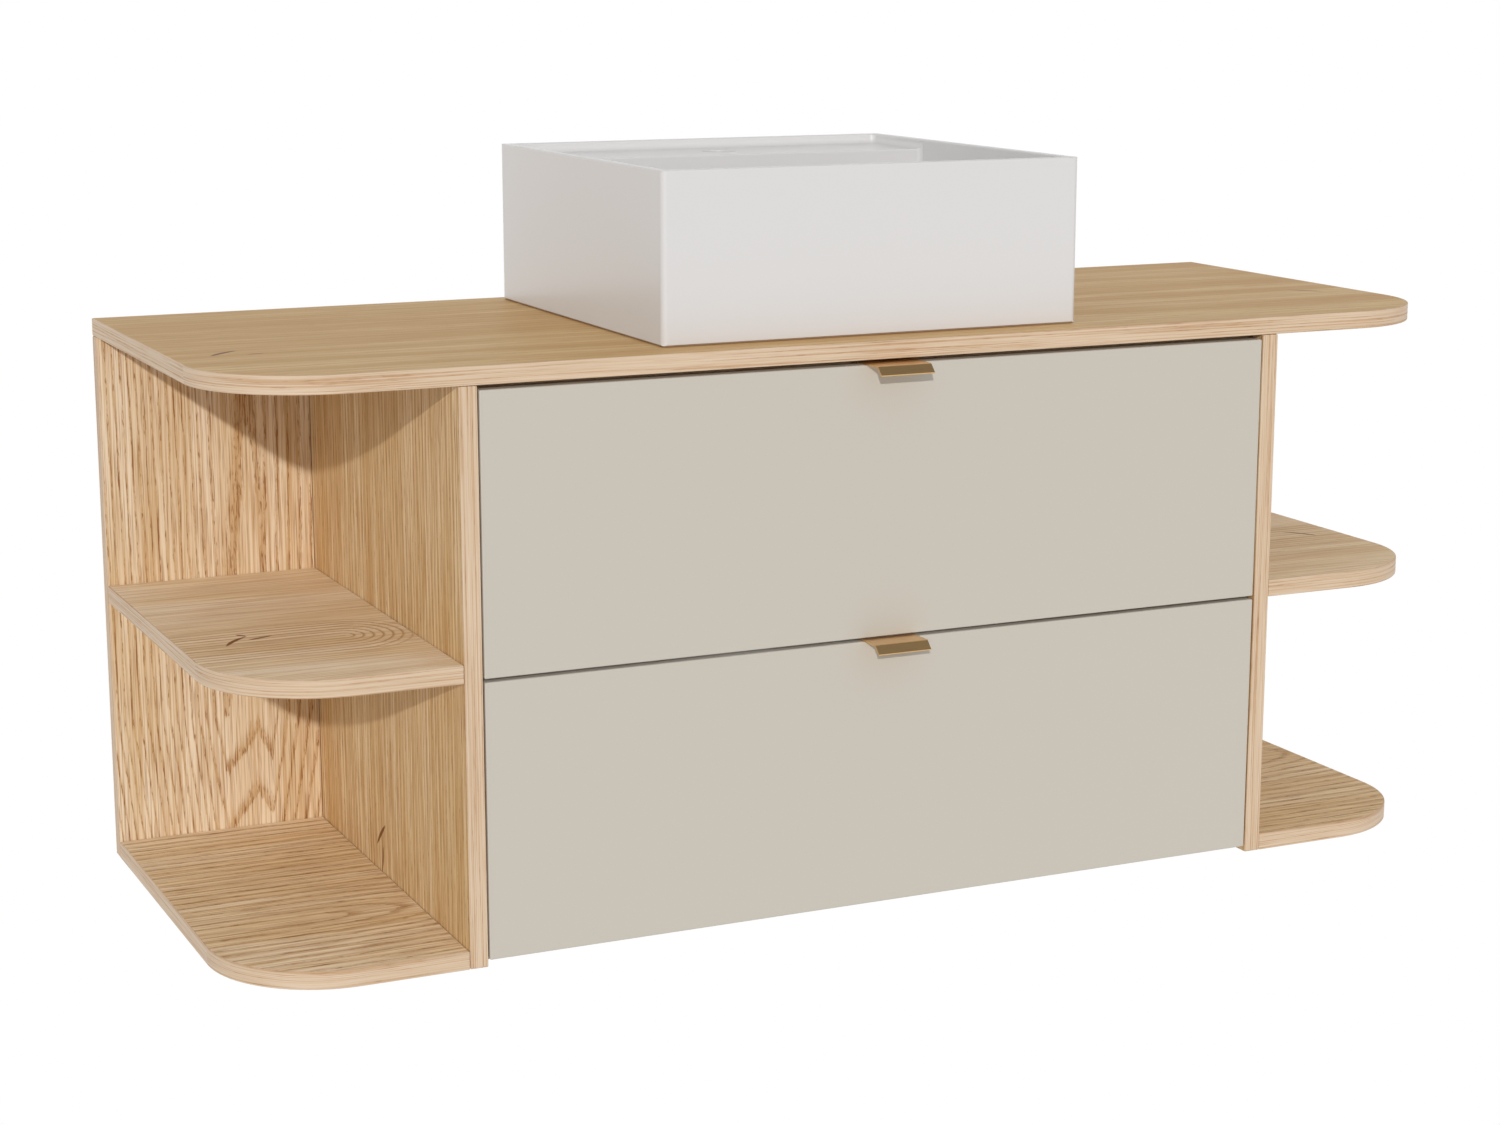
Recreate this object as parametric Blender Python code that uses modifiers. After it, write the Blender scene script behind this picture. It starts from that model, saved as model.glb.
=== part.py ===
"""Wall-hung vanity with two drawers, open side shelves and a ceramic vessel basin on its worktop.

Units are metres and +Z is up. X runs along the vanity, the wall is the plane Y = 0 and the drawers
open towards -Y. The origin is the centre of the hanging rail's rear face.
"""
import math

import bmesh
import bpy
from mathutils import Matrix, Vector

# ---- driving dimensions -------------------------------------------------------------------------
WIDTH = 1.200               # whole vanity
DEPTH = 0.450               # wall to the front of the worktop
HEIGHT = 0.515              # underside of the bottom shelves to the top of the worktop
BOARD = 0.016               # veneered panel thickness
BAY = 0.200                 # clear width of each open side bay
CORNER_R = 0.105            # rounded outer front corners of worktop and shelves
RAIL_H = 0.080              # hanging rail and lower rear rail
GAP = 0.0003                # clearance between pieces that touch

TOP_Z = RAIL_H / 2 + BOARD              # top of the worktop
CASE_TOP = RAIL_H / 2                   # underside of the worktop
BASE_Z = TOP_Z - HEIGHT                 # underside of the bottom shelves
OUTER_X = WIDTH / 2
DIVIDER_X = OUTER_X - BAY               # outer face of a divider
INNER_X = DIVIDER_X - BOARD             # inner face of a divider
MID_SHELF_Z = BASE_Z + 0.2495

# case details
FLOOR_SETBACK = 0.002                   # cabinet floor behind the lower front
FRONT_RAIL_SETBACK = 0.006
FRONT_RAIL_DEPTH = 0.080
NOTCH_W = 0.046                         # cut from the hanging rail's upper corners for the hangers
NOTCH_LOW_Z = -0.020
HANGER_T = 0.002
HANGER_H = 0.050
HANGER_Z = 0.010
HANGER_ARM = 0.044                      # leg along the divider
HANGER_LEG = 0.038                      # leg along the wall
HOOK_SLOT_W = 0.012
HOOK_SLOT_H = 0.024

# drawers
FRONT_H = 0.243
FRONT_SIDE_GAP = 0.0015
FRONT_GAP = 0.003                       # between the two fronts
LOWER_FRONT_Z = BASE_Z + 0.0058
UPPER_FRONT_Z = LOWER_FRONT_Z + FRONT_H + FRONT_GAP
FRONT_BACK_Y = -DEPTH + BOARD
BOX_SIDE_GAP = 0.013                    # room for a runner on each side of a drawer
BOX_WALL = 0.012
BOX_DEPTH = 0.400
BOX_FLOOR = 0.008
BOX_FLOOR_LIFT = 0.010                  # floor panel above the lower edge of the sides
BOX_X = INNER_X - BOX_SIDE_GAP          # outer face of a drawer side
BOX_REAR_Y = FRONT_BACK_Y + BOX_DEPTH
UPPER_BOX_Z = UPPER_FRONT_Z + 0.032
UPPER_BOX_H = 0.130
LOWER_BOX_Z = LOWER_FRONT_Z + 0.034
LOWER_BOX_H = 0.150
CUTOUT_HALF = 0.100                     # half width of the cut-out around the trap
CUTOUT_FRONT_Y = -0.325
CUTOUT_R = 0.050
GUARD_T = 0.003
GUARD_INSET = 0.001                     # the guard stands this far outside the cut-out's edge

# runners: three nested channels, half heights and webs measured from the divider
RUNNER_T = 0.0012
RUNNER_LENGTH = 0.395
RUNNER_SETBACK = 0.002                  # front end behind the drawer front
RUNNER_LIFT = 0.050                     # runner centre above the lower edge of a drawer side
RUNNER_MEMBERS = {
    "cabinet": {"half": 0.0222, "web": 0.0009, "lip": 0.0105},
    "middle": {"half": 0.0175, "web": 0.0035, "lip": 0.0100},
    "drawer": {"half": 0.0125, "web": 0.0121, "lip": 0.0055},
}

# handles: a bent strip hooked over the top edge of each front
HANDLE_WIDTH = 0.052
HANDLE_X = -0.003                       # both sit a little left of the middle
HANDLE_T = 0.0015
HANDLE_REACH = 0.023                    # flat part in front of the drawer front
HANDLE_LIP = 0.007                      # the lip's drop, and its further reach
HANDLE_TAIL = 0.015                     # flange down the back of the front
SCREW_DROP = 0.009                      # screws below the handle's flat
SCREW_SPACING = 0.032
SCREW_R = 0.0015
SCREW_HEAD_R = 0.0035
SCREW_HEAD_T = 0.0018
SCREW_LENGTH = 0.012

# basin
BASIN_W = 0.408
BASIN_D = 0.396
BASIN_H = 0.150
BASIN_FRONT_Y = -DEPTH + 0.037
BASIN_LIFT = 0.0015                     # silicone bead below the basin
BASIN_WALL = 0.008
BASIN_EDGE_R = 0.005
BOWL_CORNER_R = 0.012
BOWL_FILLET_R = 0.011                   # between the bowl's walls and its floor
DISH_R = 0.125                          # shallow cone that falls to the waste
DISH_FLAT_R = 0.036
SEAL_INSET = 0.0015
SEAL_W = 0.005
DECK_DROP = 0.009                       # tap deck below the rim
DECK_T = 0.010
DECK_FRONT_Y = -DEPTH + 0.324
TAP_HOLE_R = 0.0175
BASIN_BACK_Y = BASIN_FRONT_Y + BASIN_D
RIM_Z = TOP_Z + BASIN_H
DECK_Z = RIM_Z - DECK_DROP
BOWL_EDGE_Z = TOP_Z + 0.030             # bowl floor at its walls
BOWL_LOW_Z = TOP_Z + 0.025              # bowl floor at the waste
BOWL_UNDER_Z = TOP_Z + 0.011            # underside of the bowl floor
BOWL_HOLE_R = 0.0225
BOWL_Y = -DEPTH + 0.188                 # centre of the waste
TAP_Y = (DECK_FRONT_Y + BASIN_BACK_Y - BASIN_WALL) / 2

# waste and bottle trap, all on the vertical axis at (0, BOWL_Y)
WASTE_R = 0.0205
WASTE_BORE_R = 0.0170
FLANGE_R = 0.0315
FLANGE_T = 0.003
WASTE_LOW_Z = CASE_TOP - 0.030
WORKTOP_HOLE_R = 0.024
HOSE_HOLE_R = 0.030
STEM_R = 0.0030
GUIDE_DROP = 0.030                      # stem guide below the flange
GUIDE_R = 0.0060
GUIDE_H = 0.012
SPOKE_W = 0.003
SPOKE_H = 0.005
PLUG_R = 0.030
GASKET_T = 0.003
NUT_T = 0.009
UNION_R = 0.026                         # plastic union nuts of the trap
UNION_H = 0.014
TRAP_Z = CASE_TOP - 0.125               # height of the outlet pipe's axis
TRAP_R = 0.031
TRAP_WALL = 0.0025
CUP_R = 0.034
CUP_LOW_Z = TRAP_Z - 0.088
PIPE_R = 0.0160
PIPE_WALL = 0.0015
ROSETTE_R = 0.034

ROUND_STEPS = 48
SMALL_STEPS = 24

# ---- scene --------------------------------------------------------------------------------------
for old in list(bpy.data.objects):
    bpy.data.objects.remove(old, do_unlink=True)

MODEL = bpy.data.collections.new("vessel_sink_on_vanity")
CUTTERS = bpy.data.collections.new("cutters")
bpy.context.scene.collection.children.link(MODEL)
bpy.context.scene.collection.children.link(CUTTERS)


def make_material(name, colour, roughness, metallic=0.0):
    """A plain Principled material."""
    material = bpy.data.materials.new(name)
    material.use_nodes = True
    shader = material.node_tree.nodes["Principled BSDF"]
    shader.inputs["Base Color"].default_value = (*colour, 1.0)
    shader.inputs["Roughness"].default_value = roughness
    shader.inputs["Metallic"].default_value = metallic
    return material


OAK = make_material("oak_veneer", (0.58, 0.42, 0.26), 0.55)
LACQUER = make_material("greige_lacquer", (0.60, 0.55, 0.48), 0.40)
MELAMINE = make_material("drawer_box_board", (0.55, 0.52, 0.48), 0.60)
BRASS = make_material("brushed_brass", (0.72, 0.53, 0.30), 0.30, 1.0)
CERAMIC = make_material("white_ceramic", (0.80, 0.79, 0.77), 0.25)
SILICONE = make_material("silicone", (0.60, 0.56, 0.50), 0.45)
CHROME = make_material("chrome", (0.75, 0.75, 0.76), 0.08, 1.0)
STEEL = make_material("zinc_plated_steel", (0.56, 0.57, 0.58), 0.35, 1.0)
PLASTIC = make_material("white_plastic", (0.78, 0.78, 0.77), 0.40)
GREY_PLASTIC = make_material("grey_plastic", (0.32, 0.32, 0.33), 0.50)
RUBBER = make_material("black_rubber", (0.03, 0.03, 0.03), 0.80)


# ---- shape helpers ------------------------------------------------------------------------------
def place(name, mesh, material, centre, parent=None):
    """Link a mesh as a named sub-part at a world position, riding on its parent empty."""
    obj = bpy.data.objects.new(name, mesh)
    obj.data.materials.append(material)
    MODEL.objects.link(obj)
    obj.location = Vector(centre)
    if parent is not None:
        obj.parent = parent
        obj.location = Vector(centre) - parent.location
    return obj


def slab_mesh(name, size, rounded=(), radius=0.0, segments=12):
    """A block centred on its origin. `rounded` names vertical edges by the signs of their X and Y."""
    bm = bmesh.new()
    bmesh.ops.create_cube(bm, size=1.0, matrix=Matrix.Diagonal((*size, 1.0)))
    edges = []
    for edge in bm.edges:
        a, b = (v.co for v in edge.verts)
        upright = abs(a.z - b.z) > 1e-6
        if upright and (math.copysign(1, a.x), math.copysign(1, a.y)) in rounded:
            edges.append(edge)
    if edges:
        bmesh.ops.bevel(bm, geom=edges, offset=radius, segments=segments, profile=0.5, affect="EDGES")
    mesh = bpy.data.meshes.new(name)
    bm.to_mesh(mesh)
    bm.free()
    return mesh


def board(name, low, high, material, parent=None, rounded=(), radius=0.0, segments=12):
    """A panel between two opposite corners."""
    low, high = Vector(low), Vector(high)
    mesh = slab_mesh(name, high - low, rounded, radius, segments)
    return place(name, mesh, material, (low + high) / 2, parent)


def turned_mesh_object(name, profile, steps):
    """An object whose outline of (radius, height) points is turned about Z by a Screw modifier."""
    mesh = bpy.data.meshes.new(name)
    points = [(r, 0.0, z) for r, z in profile]
    links = [(i, i + 1) for i in range(len(points) - 1)]
    if profile[0][0] > 0.0:
        links.append((len(points) - 1, 0))
    mesh.from_pydata(points, links, [])
    obj = bpy.data.objects.new(name, mesh)
    screw = obj.modifiers.new("turn", "SCREW")
    screw.axis = "Z"
    screw.steps = steps
    screw.render_steps = steps
    screw.use_merge_vertices = True
    screw.merge_threshold = 0.00002
    screw.use_smooth_shade = True
    return obj


def turned(name, profile, material, centre, steps=ROUND_STEPS, parent=None):
    """A turned sub-part. The outline runs down its outer side and back up its bore."""
    obj = turned_mesh_object(name, profile, steps)
    obj.data.materials.append(material)
    MODEL.objects.link(obj)
    obj.location = Vector(centre)
    if parent is not None:
        obj.parent = parent
        obj.location = Vector(centre) - parent.location
    return obj


def ring_profile(outer, inner, low, high):
    """Outline of a plain ring or tube."""
    return [(outer, high), (outer, low), (inner, low), (inner, high)]


def rod_profile(radius, low, high):
    """Outline of a plain solid cylinder."""
    return [(0.0, high), (radius, high), (radius, low), (0.0, low)]


def hide_cutter(cutter):
    """Keep a cutter out of the model."""
    CUTTERS.objects.link(cutter)
    cutter.hide_render = True
    cutter.display_type = "WIRE"
    return cutter


def box_cutter(name, low, high, rounded=(), radius=0.0, segments=8):
    """A block-shaped cutter between two opposite corners."""
    low, high = Vector(low), Vector(high)
    cutter = bpy.data.objects.new(name, slab_mesh(name, high - low, rounded, radius, segments))
    cutter.location = (low + high) / 2
    return hide_cutter(cutter)


def round_cutter(name, profile, centre, steps=ROUND_STEPS, along_y=False):
    """A turned cutter, upright or laid along Y."""
    cutter = turned_mesh_object(name, profile, steps)
    cutter.location = Vector(centre)
    if along_y:
        cutter.rotation_euler.x = -math.pi / 2
    return hide_cutter(cutter)


def combine(obj, cutter, operation="DIFFERENCE"):
    """Cut a shape from a sub-part, or join it on."""
    boolean = obj.modifiers.new(cutter.name, "BOOLEAN")
    boolean.operation = operation
    boolean.object = cutter
    boolean.solver = "EXACT"


def bent_strip(name, path, across, width, thickness, material, parent=None):
    """A strip of sheet along `path`, a list of world points, with its width centred along `across`."""
    half = Vector(across) * width / 2
    bm = bmesh.new()
    rows = []
    for point in path:
        rows.append([bm.verts.new(Vector(point) - half), bm.verts.new(Vector(point) + half)])
    for (a, b), (c, d) in zip(rows, rows[1:]):
        bm.faces.new((a, b, d, c))
    mesh = bpy.data.meshes.new(name)
    bm.to_mesh(mesh)
    bm.free()
    centre = sum((Vector(p) for p in path), Vector()) / len(path)
    mesh.transform(Matrix.Translation(-centre))
    obj = place(name, mesh, material, centre, parent)
    solid = obj.modifiers.new("sheet", "SOLIDIFY")
    solid.thickness = thickness
    solid.offset = 0.0
    solid.use_even_offset = True
    return obj


def arc(centre, radius, start, end, steps):
    """Points (a, b) on an arc, angles in degrees."""
    points = []
    for i in range(steps + 1):
        angle = math.radians(start + (end - start) * i / steps)
        points.append((centre[0] + radius * math.cos(angle), centre[1] + radius * math.sin(angle)))
    return points


def add_empty(name, position):
    """The carrier of a moving group, on its joint's axis."""
    empty = bpy.data.objects.new(name, None)
    empty.empty_display_size = 0.05
    empty.location = Vector(position)
    MODEL.objects.link(empty)
    return empty


ALL_CORNERS = ((-1, -1), (1, -1), (-1, 1), (1, 1))
SIDES = (("left", -1), ("right", 1))


def span_x(side, near, far):
    """Low and high X of a stretch that lies between two distances from the middle, on one side."""
    return tuple(sorted((side * near, side * far)))


# ---- cabinet ------------------------------------------------------------------------------------
def build_worktop():
    """Full-width top with rounded front corners, and the holes for the waste and the tap's hoses."""
    top = board("worktop", (-OUTER_X, -DEPTH, CASE_TOP), (OUTER_X, 0.0, TOP_Z), OAK,
                rounded=((-1, -1), (1, -1)), radius=CORNER_R, segments=20)
    through = (CASE_TOP - BOARD, TOP_Z + BOARD)
    combine(top, round_cutter("waste_way", rod_profile(WORKTOP_HOLE_R, *through), (0, BOWL_Y, 0)))
    combine(top, round_cutter("hose_way", rod_profile(HOSE_HOLE_R, *through), (0, TAP_Y, 0)))


def build_side_bay(label, side):
    """One open bay: divider, back panel, and the middle and bottom shelves."""
    low, high = span_x(side, INNER_X, DIVIDER_X)
    board(f"divider_{label}", (low, -DEPTH, BASE_Z), (high, 0.0, CASE_TOP - GAP), OAK)
    low, high = span_x(side, DIVIDER_X + GAP, OUTER_X)
    board(f"back_panel_{label}", (low, -BOARD, BASE_Z), (high, 0.0, CASE_TOP - GAP), OAK)
    for shelf, z in (("shelf_mid", MID_SHELF_Z), ("shelf_bottom", BASE_Z)):
        board(f"{shelf}_{label}", (low, -DEPTH, z), (high, -BOARD - GAP, z + BOARD), OAK,
              rounded=((side, -1),), radius=CORNER_R, segments=20)


def build_case_rails():
    """Floor, front rail and the two rear rails that tie the dividers together."""
    x = INNER_X - GAP
    board("cabinet_floor", (-x, FRONT_BACK_Y + FLOOR_SETBACK, BASE_Z), (x, 0.0, BASE_Z + BOARD), OAK)
    front_y = FRONT_BACK_Y + FRONT_RAIL_SETBACK
    board("front_rail", (-x, front_y, CASE_TOP - GAP - BOARD),
          (x, front_y + FRONT_RAIL_DEPTH, CASE_TOP - GAP), OAK)
    low = BASE_Z + BOARD + GAP
    board("lower_rear_rail", (-x, -BOARD, low), (x, 0.0, low + RAIL_H), OAK)
    rail = board("hanging_rail", (-x, -BOARD, -RAIL_H / 2), (x, 0.0, CASE_TOP - GAP), OAK)
    for label, side in SIDES:
        low, high = span_x(side, INNER_X - NOTCH_W, INNER_X + BOARD)
        combine(rail, box_cutter(f"notch_{label}", (low, -2 * BOARD, NOTCH_LOW_Z), (high, BOARD, TOP_Z)))


def build_hanger(label, side):
    """Steel corner bracket on a divider, with a slot that drops over the wall hook."""
    face = INNER_X - GAP - HANGER_T / 2
    back = -GAP - HANGER_T / 2
    path = [(side * face, -HANGER_ARM, HANGER_Z), (side * face, back, HANGER_Z),
            (side * (face - HANGER_LEG), back, HANGER_Z)]
    hanger = bent_strip(f"hanger_{label}", path, (0, 0, 1), HANGER_H, HANGER_T, STEEL)
    middle = face - (HANGER_LEG + HANGER_T) / 2
    low, high = span_x(side, middle - HOOK_SLOT_W / 2, middle + HOOK_SLOT_W / 2)
    combine(hanger, box_cutter(f"hook_slot_{label}", (low, -BOARD, HANGER_Z - HOOK_SLOT_H / 2),
                               (high, BOARD, HANGER_Z + HOOK_SLOT_H / 2)))


# ---- drawers ------------------------------------------------------------------------------------
def build_handle(prefix, front, front_top, carrier):
    """Bent brass strip over the front's top edge, and the two screws behind the front."""
    level = front_top + GAP + HANDLE_T / 2
    tail_y = FRONT_BACK_Y + GAP + HANDLE_T / 2
    nose_y = -DEPTH - HANDLE_REACH
    path = [(HANDLE_X, tail_y, level - HANDLE_TAIL), (HANDLE_X, tail_y, level), (HANDLE_X, nose_y, level),
            (HANDLE_X, nose_y - HANDLE_LIP, level - HANDLE_LIP)]
    handle = bent_strip(f"{prefix}_handle", path, (1, 0, 0), HANDLE_WIDTH, HANDLE_T, BRASS, carrier)
    seat_y = tail_y + HANDLE_T / 2 + GAP
    for label, side in SIDES:
        centre = (HANDLE_X + side * SCREW_SPACING / 2, seat_y, level - SCREW_DROP)
        hole = rod_profile(SCREW_R + GAP, -SCREW_LENGTH - SCREW_R, SCREW_LENGTH)
        way = round_cutter(f"{prefix}_screw_way_{label}", hole, centre, SMALL_STEPS, along_y=True)
        combine(handle, way)
        combine(front, way)
        outline = [(0.0, SCREW_HEAD_T), (SCREW_HEAD_R * 0.7, SCREW_HEAD_T), (SCREW_HEAD_R, 0.001),
                   (SCREW_HEAD_R, 0.0), (SCREW_R, 0.0), (SCREW_R, -SCREW_LENGTH), (0.0, -SCREW_LENGTH)]
        screw = turned(f"{prefix}_handle_screw_{label}", outline, STEEL, centre, SMALL_STEPS, carrier)
        screw.rotation_euler.x = -math.pi / 2


def build_drawer_shell(prefix, front_z, box_z, box_h, carrier):
    """Front, handle, two sides and the floor panel of a drawer; returns the floor."""
    x = INNER_X - FRONT_SIDE_GAP
    front_top = front_z + FRONT_H
    front = board(f"{prefix}_front", (-x, -DEPTH, front_z), (x, FRONT_BACK_Y, front_top), LACQUER, carrier)
    build_handle(prefix, front, front_top, carrier)
    for label, side in SIDES:
        low, high = span_x(side, BOX_X - BOX_WALL, BOX_X)
        board(f"{prefix}_side_{label}", (low, FRONT_BACK_Y + GAP, box_z),
              (high, BOX_REAR_Y, box_z + box_h), MELAMINE, carrier)
    x = BOX_X - BOX_WALL - GAP
    floor_z = box_z + BOX_FLOOR_LIFT
    return board(f"{prefix}_bottom", (-x, FRONT_BACK_Y + GAP, floor_z),
                 (x, BOX_REAR_Y, floor_z + BOX_FLOOR), MELAMINE, carrier)


def build_upper_drawer(carrier):
    """Upper drawer, open at the back around the trap, with a guard that lines the cut-out."""
    floor = build_drawer_shell("upper_drawer", UPPER_FRONT_Z, UPPER_BOX_Z, UPPER_BOX_H, carrier)
    above_floor = UPPER_BOX_Z + BOX_FLOOR_LIFT + BOX_FLOOR + GAP
    top = UPPER_BOX_Z + UPPER_BOX_H
    combine(floor, box_cutter("trap_way", (-CUTOUT_HALF, CUTOUT_FRONT_Y, UPPER_BOX_Z - BOARD),
                              (CUTOUT_HALF, BOARD, top), ((-1, -1), (1, -1)), CUTOUT_R))
    for label, side in SIDES:
        low, high = span_x(side, CUTOUT_HALF + GUARD_INSET + GUARD_T + GAP, BOX_X - BOX_WALL - GAP)
        board(f"upper_drawer_back_{label}", (low, BOX_REAR_Y - BOX_WALL, above_floor),
              (high, BOX_REAR_Y, top), MELAMINE, carrier)
    half = CUTOUT_HALF + GUARD_INSET + GUARD_T / 2
    front_y = CUTOUT_FRONT_Y - GUARD_INSET - GUARD_T / 2
    z = (above_floor + top) / 2
    left = arc((-half + CUTOUT_R, front_y + CUTOUT_R), CUTOUT_R, 180, 270, 6)
    right = arc((half - CUTOUT_R, front_y + CUTOUT_R), CUTOUT_R, 270, 360, 6)
    outline = [(-half, BOX_REAR_Y)] + left + right + [(half, BOX_REAR_Y)]
    bent_strip("siphon_guard", [(x, y, z) for x, y in outline], (0, 0, 1), top - above_floor,
               GUARD_T, GREY_PLASTIC, carrier)


def build_lower_drawer(carrier):
    """Lower drawer, a plain full-depth box."""
    build_drawer_shell("lower_drawer", LOWER_FRONT_Z, LOWER_BOX_Z, LOWER_BOX_H, carrier)
    x = BOX_X - BOX_WALL - GAP
    above_floor = LOWER_BOX_Z + BOX_FLOOR_LIFT + BOX_FLOOR + GAP
    board("lower_drawer_back", (-x, BOX_REAR_Y - BOX_WALL, above_floor),
          (x, BOX_REAR_Y, LOWER_BOX_Z + LOWER_BOX_H), MELAMINE, carrier)


def build_runners(prefix, box_z, carrier):
    """A pair of three-part ball runners: cabinet channel, middle channel and drawer channel."""
    centre_z = box_z + RUNNER_LIFT
    centre_y = FRONT_BACK_Y + RUNNER_SETBACK + RUNNER_LENGTH / 2
    for label, side in SIDES:
        web = RUNNER_MEMBERS["middle"]["web"]
        middle = add_empty(f"{prefix}_runner_carrier_{label}", (side * (INNER_X - web), centre_y, centre_z))
        riders = {"cabinet": None, "middle": middle, "drawer": carrier}
        for member, shape in RUNNER_MEMBERS.items():
            web_x = side * (INNER_X - shape["web"])
            lip_x = side * (INNER_X - shape["lip"])
            half = shape["half"]
            path = [(lip_x, centre_y, centre_z + half), (web_x, centre_y, centre_z + half),
                    (web_x, centre_y, centre_z - half), (lip_x, centre_y, centre_z - half)]
            bent_strip(f"{prefix}_runner_{member}_{label}", path, (0, 1, 0), RUNNER_LENGTH,
                       RUNNER_T, STEEL, riders[member])


# ---- basin --------------------------------------------------------------------------------------
def build_basin():
    """Rectangular vessel with thin walls, a lowered tap deck at the back and an open underside."""
    half = BASIN_W / 2
    base_z = TOP_Z + BASIN_LIFT
    basin = board("basin", (-half, BASIN_FRONT_Y, base_z), (half, BASIN_BACK_Y, RIM_Z), CERAMIC,
                  rounded=ALL_CORNERS, radius=BASIN_EDGE_R, segments=4)
    inside = half - BASIN_WALL
    front_y = BASIN_FRONT_Y + BASIN_WALL
    back_y = BASIN_BACK_Y - BASIN_WALL
    above = RIM_Z + 0.02
    combine(basin, box_cutter("above_deck", (-inside, front_y, DECK_Z), (inside, back_y, above),
                              ALL_CORNERS, BOWL_CORNER_R))
    bowl = box_cutter("bowl", (-inside, front_y, BOWL_EDGE_Z), (inside, DECK_FRONT_Y, above),
                      ALL_CORNERS, BOWL_CORNER_R)
    soften_low_edge(bowl, BOWL_FILLET_R)
    combine(basin, bowl)
    overlap_z = BOWL_EDGE_Z + 0.001
    dish = [(0.0, overlap_z), (DISH_R, overlap_z), (DISH_FLAT_R, BOWL_LOW_Z), (0.0, BOWL_LOW_Z)]
    combine(basin, round_cutter("dish", dish, (0, BOWL_Y, 0)))
    below = base_z - 0.02
    combine(basin, box_cutter("under_bowl", (-inside, front_y, below), (inside, back_y, BOWL_UNDER_Z)))
    combine(basin, box_cutter("under_deck", (-inside, DECK_FRONT_Y + BASIN_WALL, below),
                              (inside, back_y, DECK_Z - DECK_T)))
    combine(basin, round_cutter("waste_hole", rod_profile(BOWL_HOLE_R, below, above), (0, BOWL_Y, 0)))
    combine(basin, round_cutter("tap_hole", rod_profile(TAP_HOLE_R, DECK_Z - 0.03, above), (0, TAP_Y, 0),
                                SMALL_STEPS))


def soften_low_edge(cutter, radius):
    """Round the bottom outline of a cutter, which becomes the fillet round the bowl floor."""
    bm = bmesh.new()
    bm.from_mesh(cutter.data)
    low = min(v.co.z for v in bm.verts)
    edges = [e for e in bm.edges if all(v.co.z < low + 1e-5 for v in e.verts)]
    bmesh.ops.bevel(bm, geom=edges, offset=radius, segments=4, profile=0.5, affect="EDGES")
    bm.to_mesh(cutter.data)
    bm.free()


def build_basin_seal():
    """Thin silicone bead between the basin's foot and the worktop."""
    half = BASIN_W / 2 - SEAL_INSET
    front_y = BASIN_FRONT_Y + SEAL_INSET
    back_y = BASIN_BACK_Y - SEAL_INSET
    seal = board("basin_seal", (-half, front_y, TOP_Z + GAP), (half, back_y, TOP_Z + BASIN_LIFT - GAP),
                 SILICONE, rounded=ALL_CORNERS, radius=BASIN_EDGE_R - SEAL_INSET, segments=3)
    combine(seal, box_cutter("inside_bead", (-half + SEAL_W, front_y + SEAL_W, TOP_Z - BOARD),
                             (half - SEAL_W, back_y - SEAL_W, TOP_Z + BOARD)))


# ---- waste and trap -----------------------------------------------------------------------------
def build_waste(carrier):
    """Push-open waste: flanged body with a guide for the plug's stem, plug, gasket and back nut."""
    axis = (0, BOWL_Y, 0)
    seat = BOWL_LOW_Z + GAP
    rim = seat + FLANGE_T
    body = turned("waste_body", [(WASTE_BORE_R, rim - 0.001), (FLANGE_R - 0.002, rim),
                                 (FLANGE_R, seat + 0.001), (FLANGE_R, seat), (WASTE_R, seat),
                                 (WASTE_R, WASTE_LOW_Z), (WASTE_BORE_R, WASTE_LOW_Z)], CHROME, axis)
    guide_z = rim - GUIDE_DROP
    middle = Vector((0, BOWL_Y, guide_z))
    spoke = WASTE_BORE_R + WASTE_R              # ends inside the wall on both sides
    for name, size in (("spoke_x", (spoke, SPOKE_W, SPOKE_H)), ("spoke_y", (SPOKE_W, spoke, SPOKE_H))):
        reach = Vector(size) / 2
        combine(body, box_cutter(name, middle - reach, middle + reach), "UNION")
    hub = rod_profile(GUIDE_R, guide_z - GUIDE_H / 2, guide_z + GUIDE_H / 2)
    combine(body, round_cutter("hub", hub, axis, SMALL_STEPS), "UNION")
    bore = rod_profile(STEM_R + GAP, guide_z - GUIDE_H, guide_z + GUIDE_H)
    combine(body, round_cutter("stem_way", bore, axis, SMALL_STEPS))

    stem_end = guide_z - GUIDE_H / 2 - 0.004 - rim
    plug = [(0.0, 0.0055), (0.012, 0.0053), (0.022, 0.0045), (PLUG_R - 0.0015, 0.0030), (PLUG_R, 0.0015),
            (PLUG_R - 0.0005, 0.0), (STEM_R, 0.0), (STEM_R, stem_end), (0.0, stem_end)]
    turned("waste_plug", plug, CHROME, (0, BOWL_Y, rim + GAP), parent=carrier)

    top = CASE_TOP - GAP
    bore_r = WASTE_R + GAP
    turned("waste_gasket", ring_profile(UNION_R + 0.005, bore_r, top - GASKET_T, top), RUBBER, axis)
    top = top - GASKET_T - GAP
    turned("waste_nut", ring_profile(UNION_R + 0.004, bore_r, top - NUT_T, top), STEEL, axis)


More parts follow.
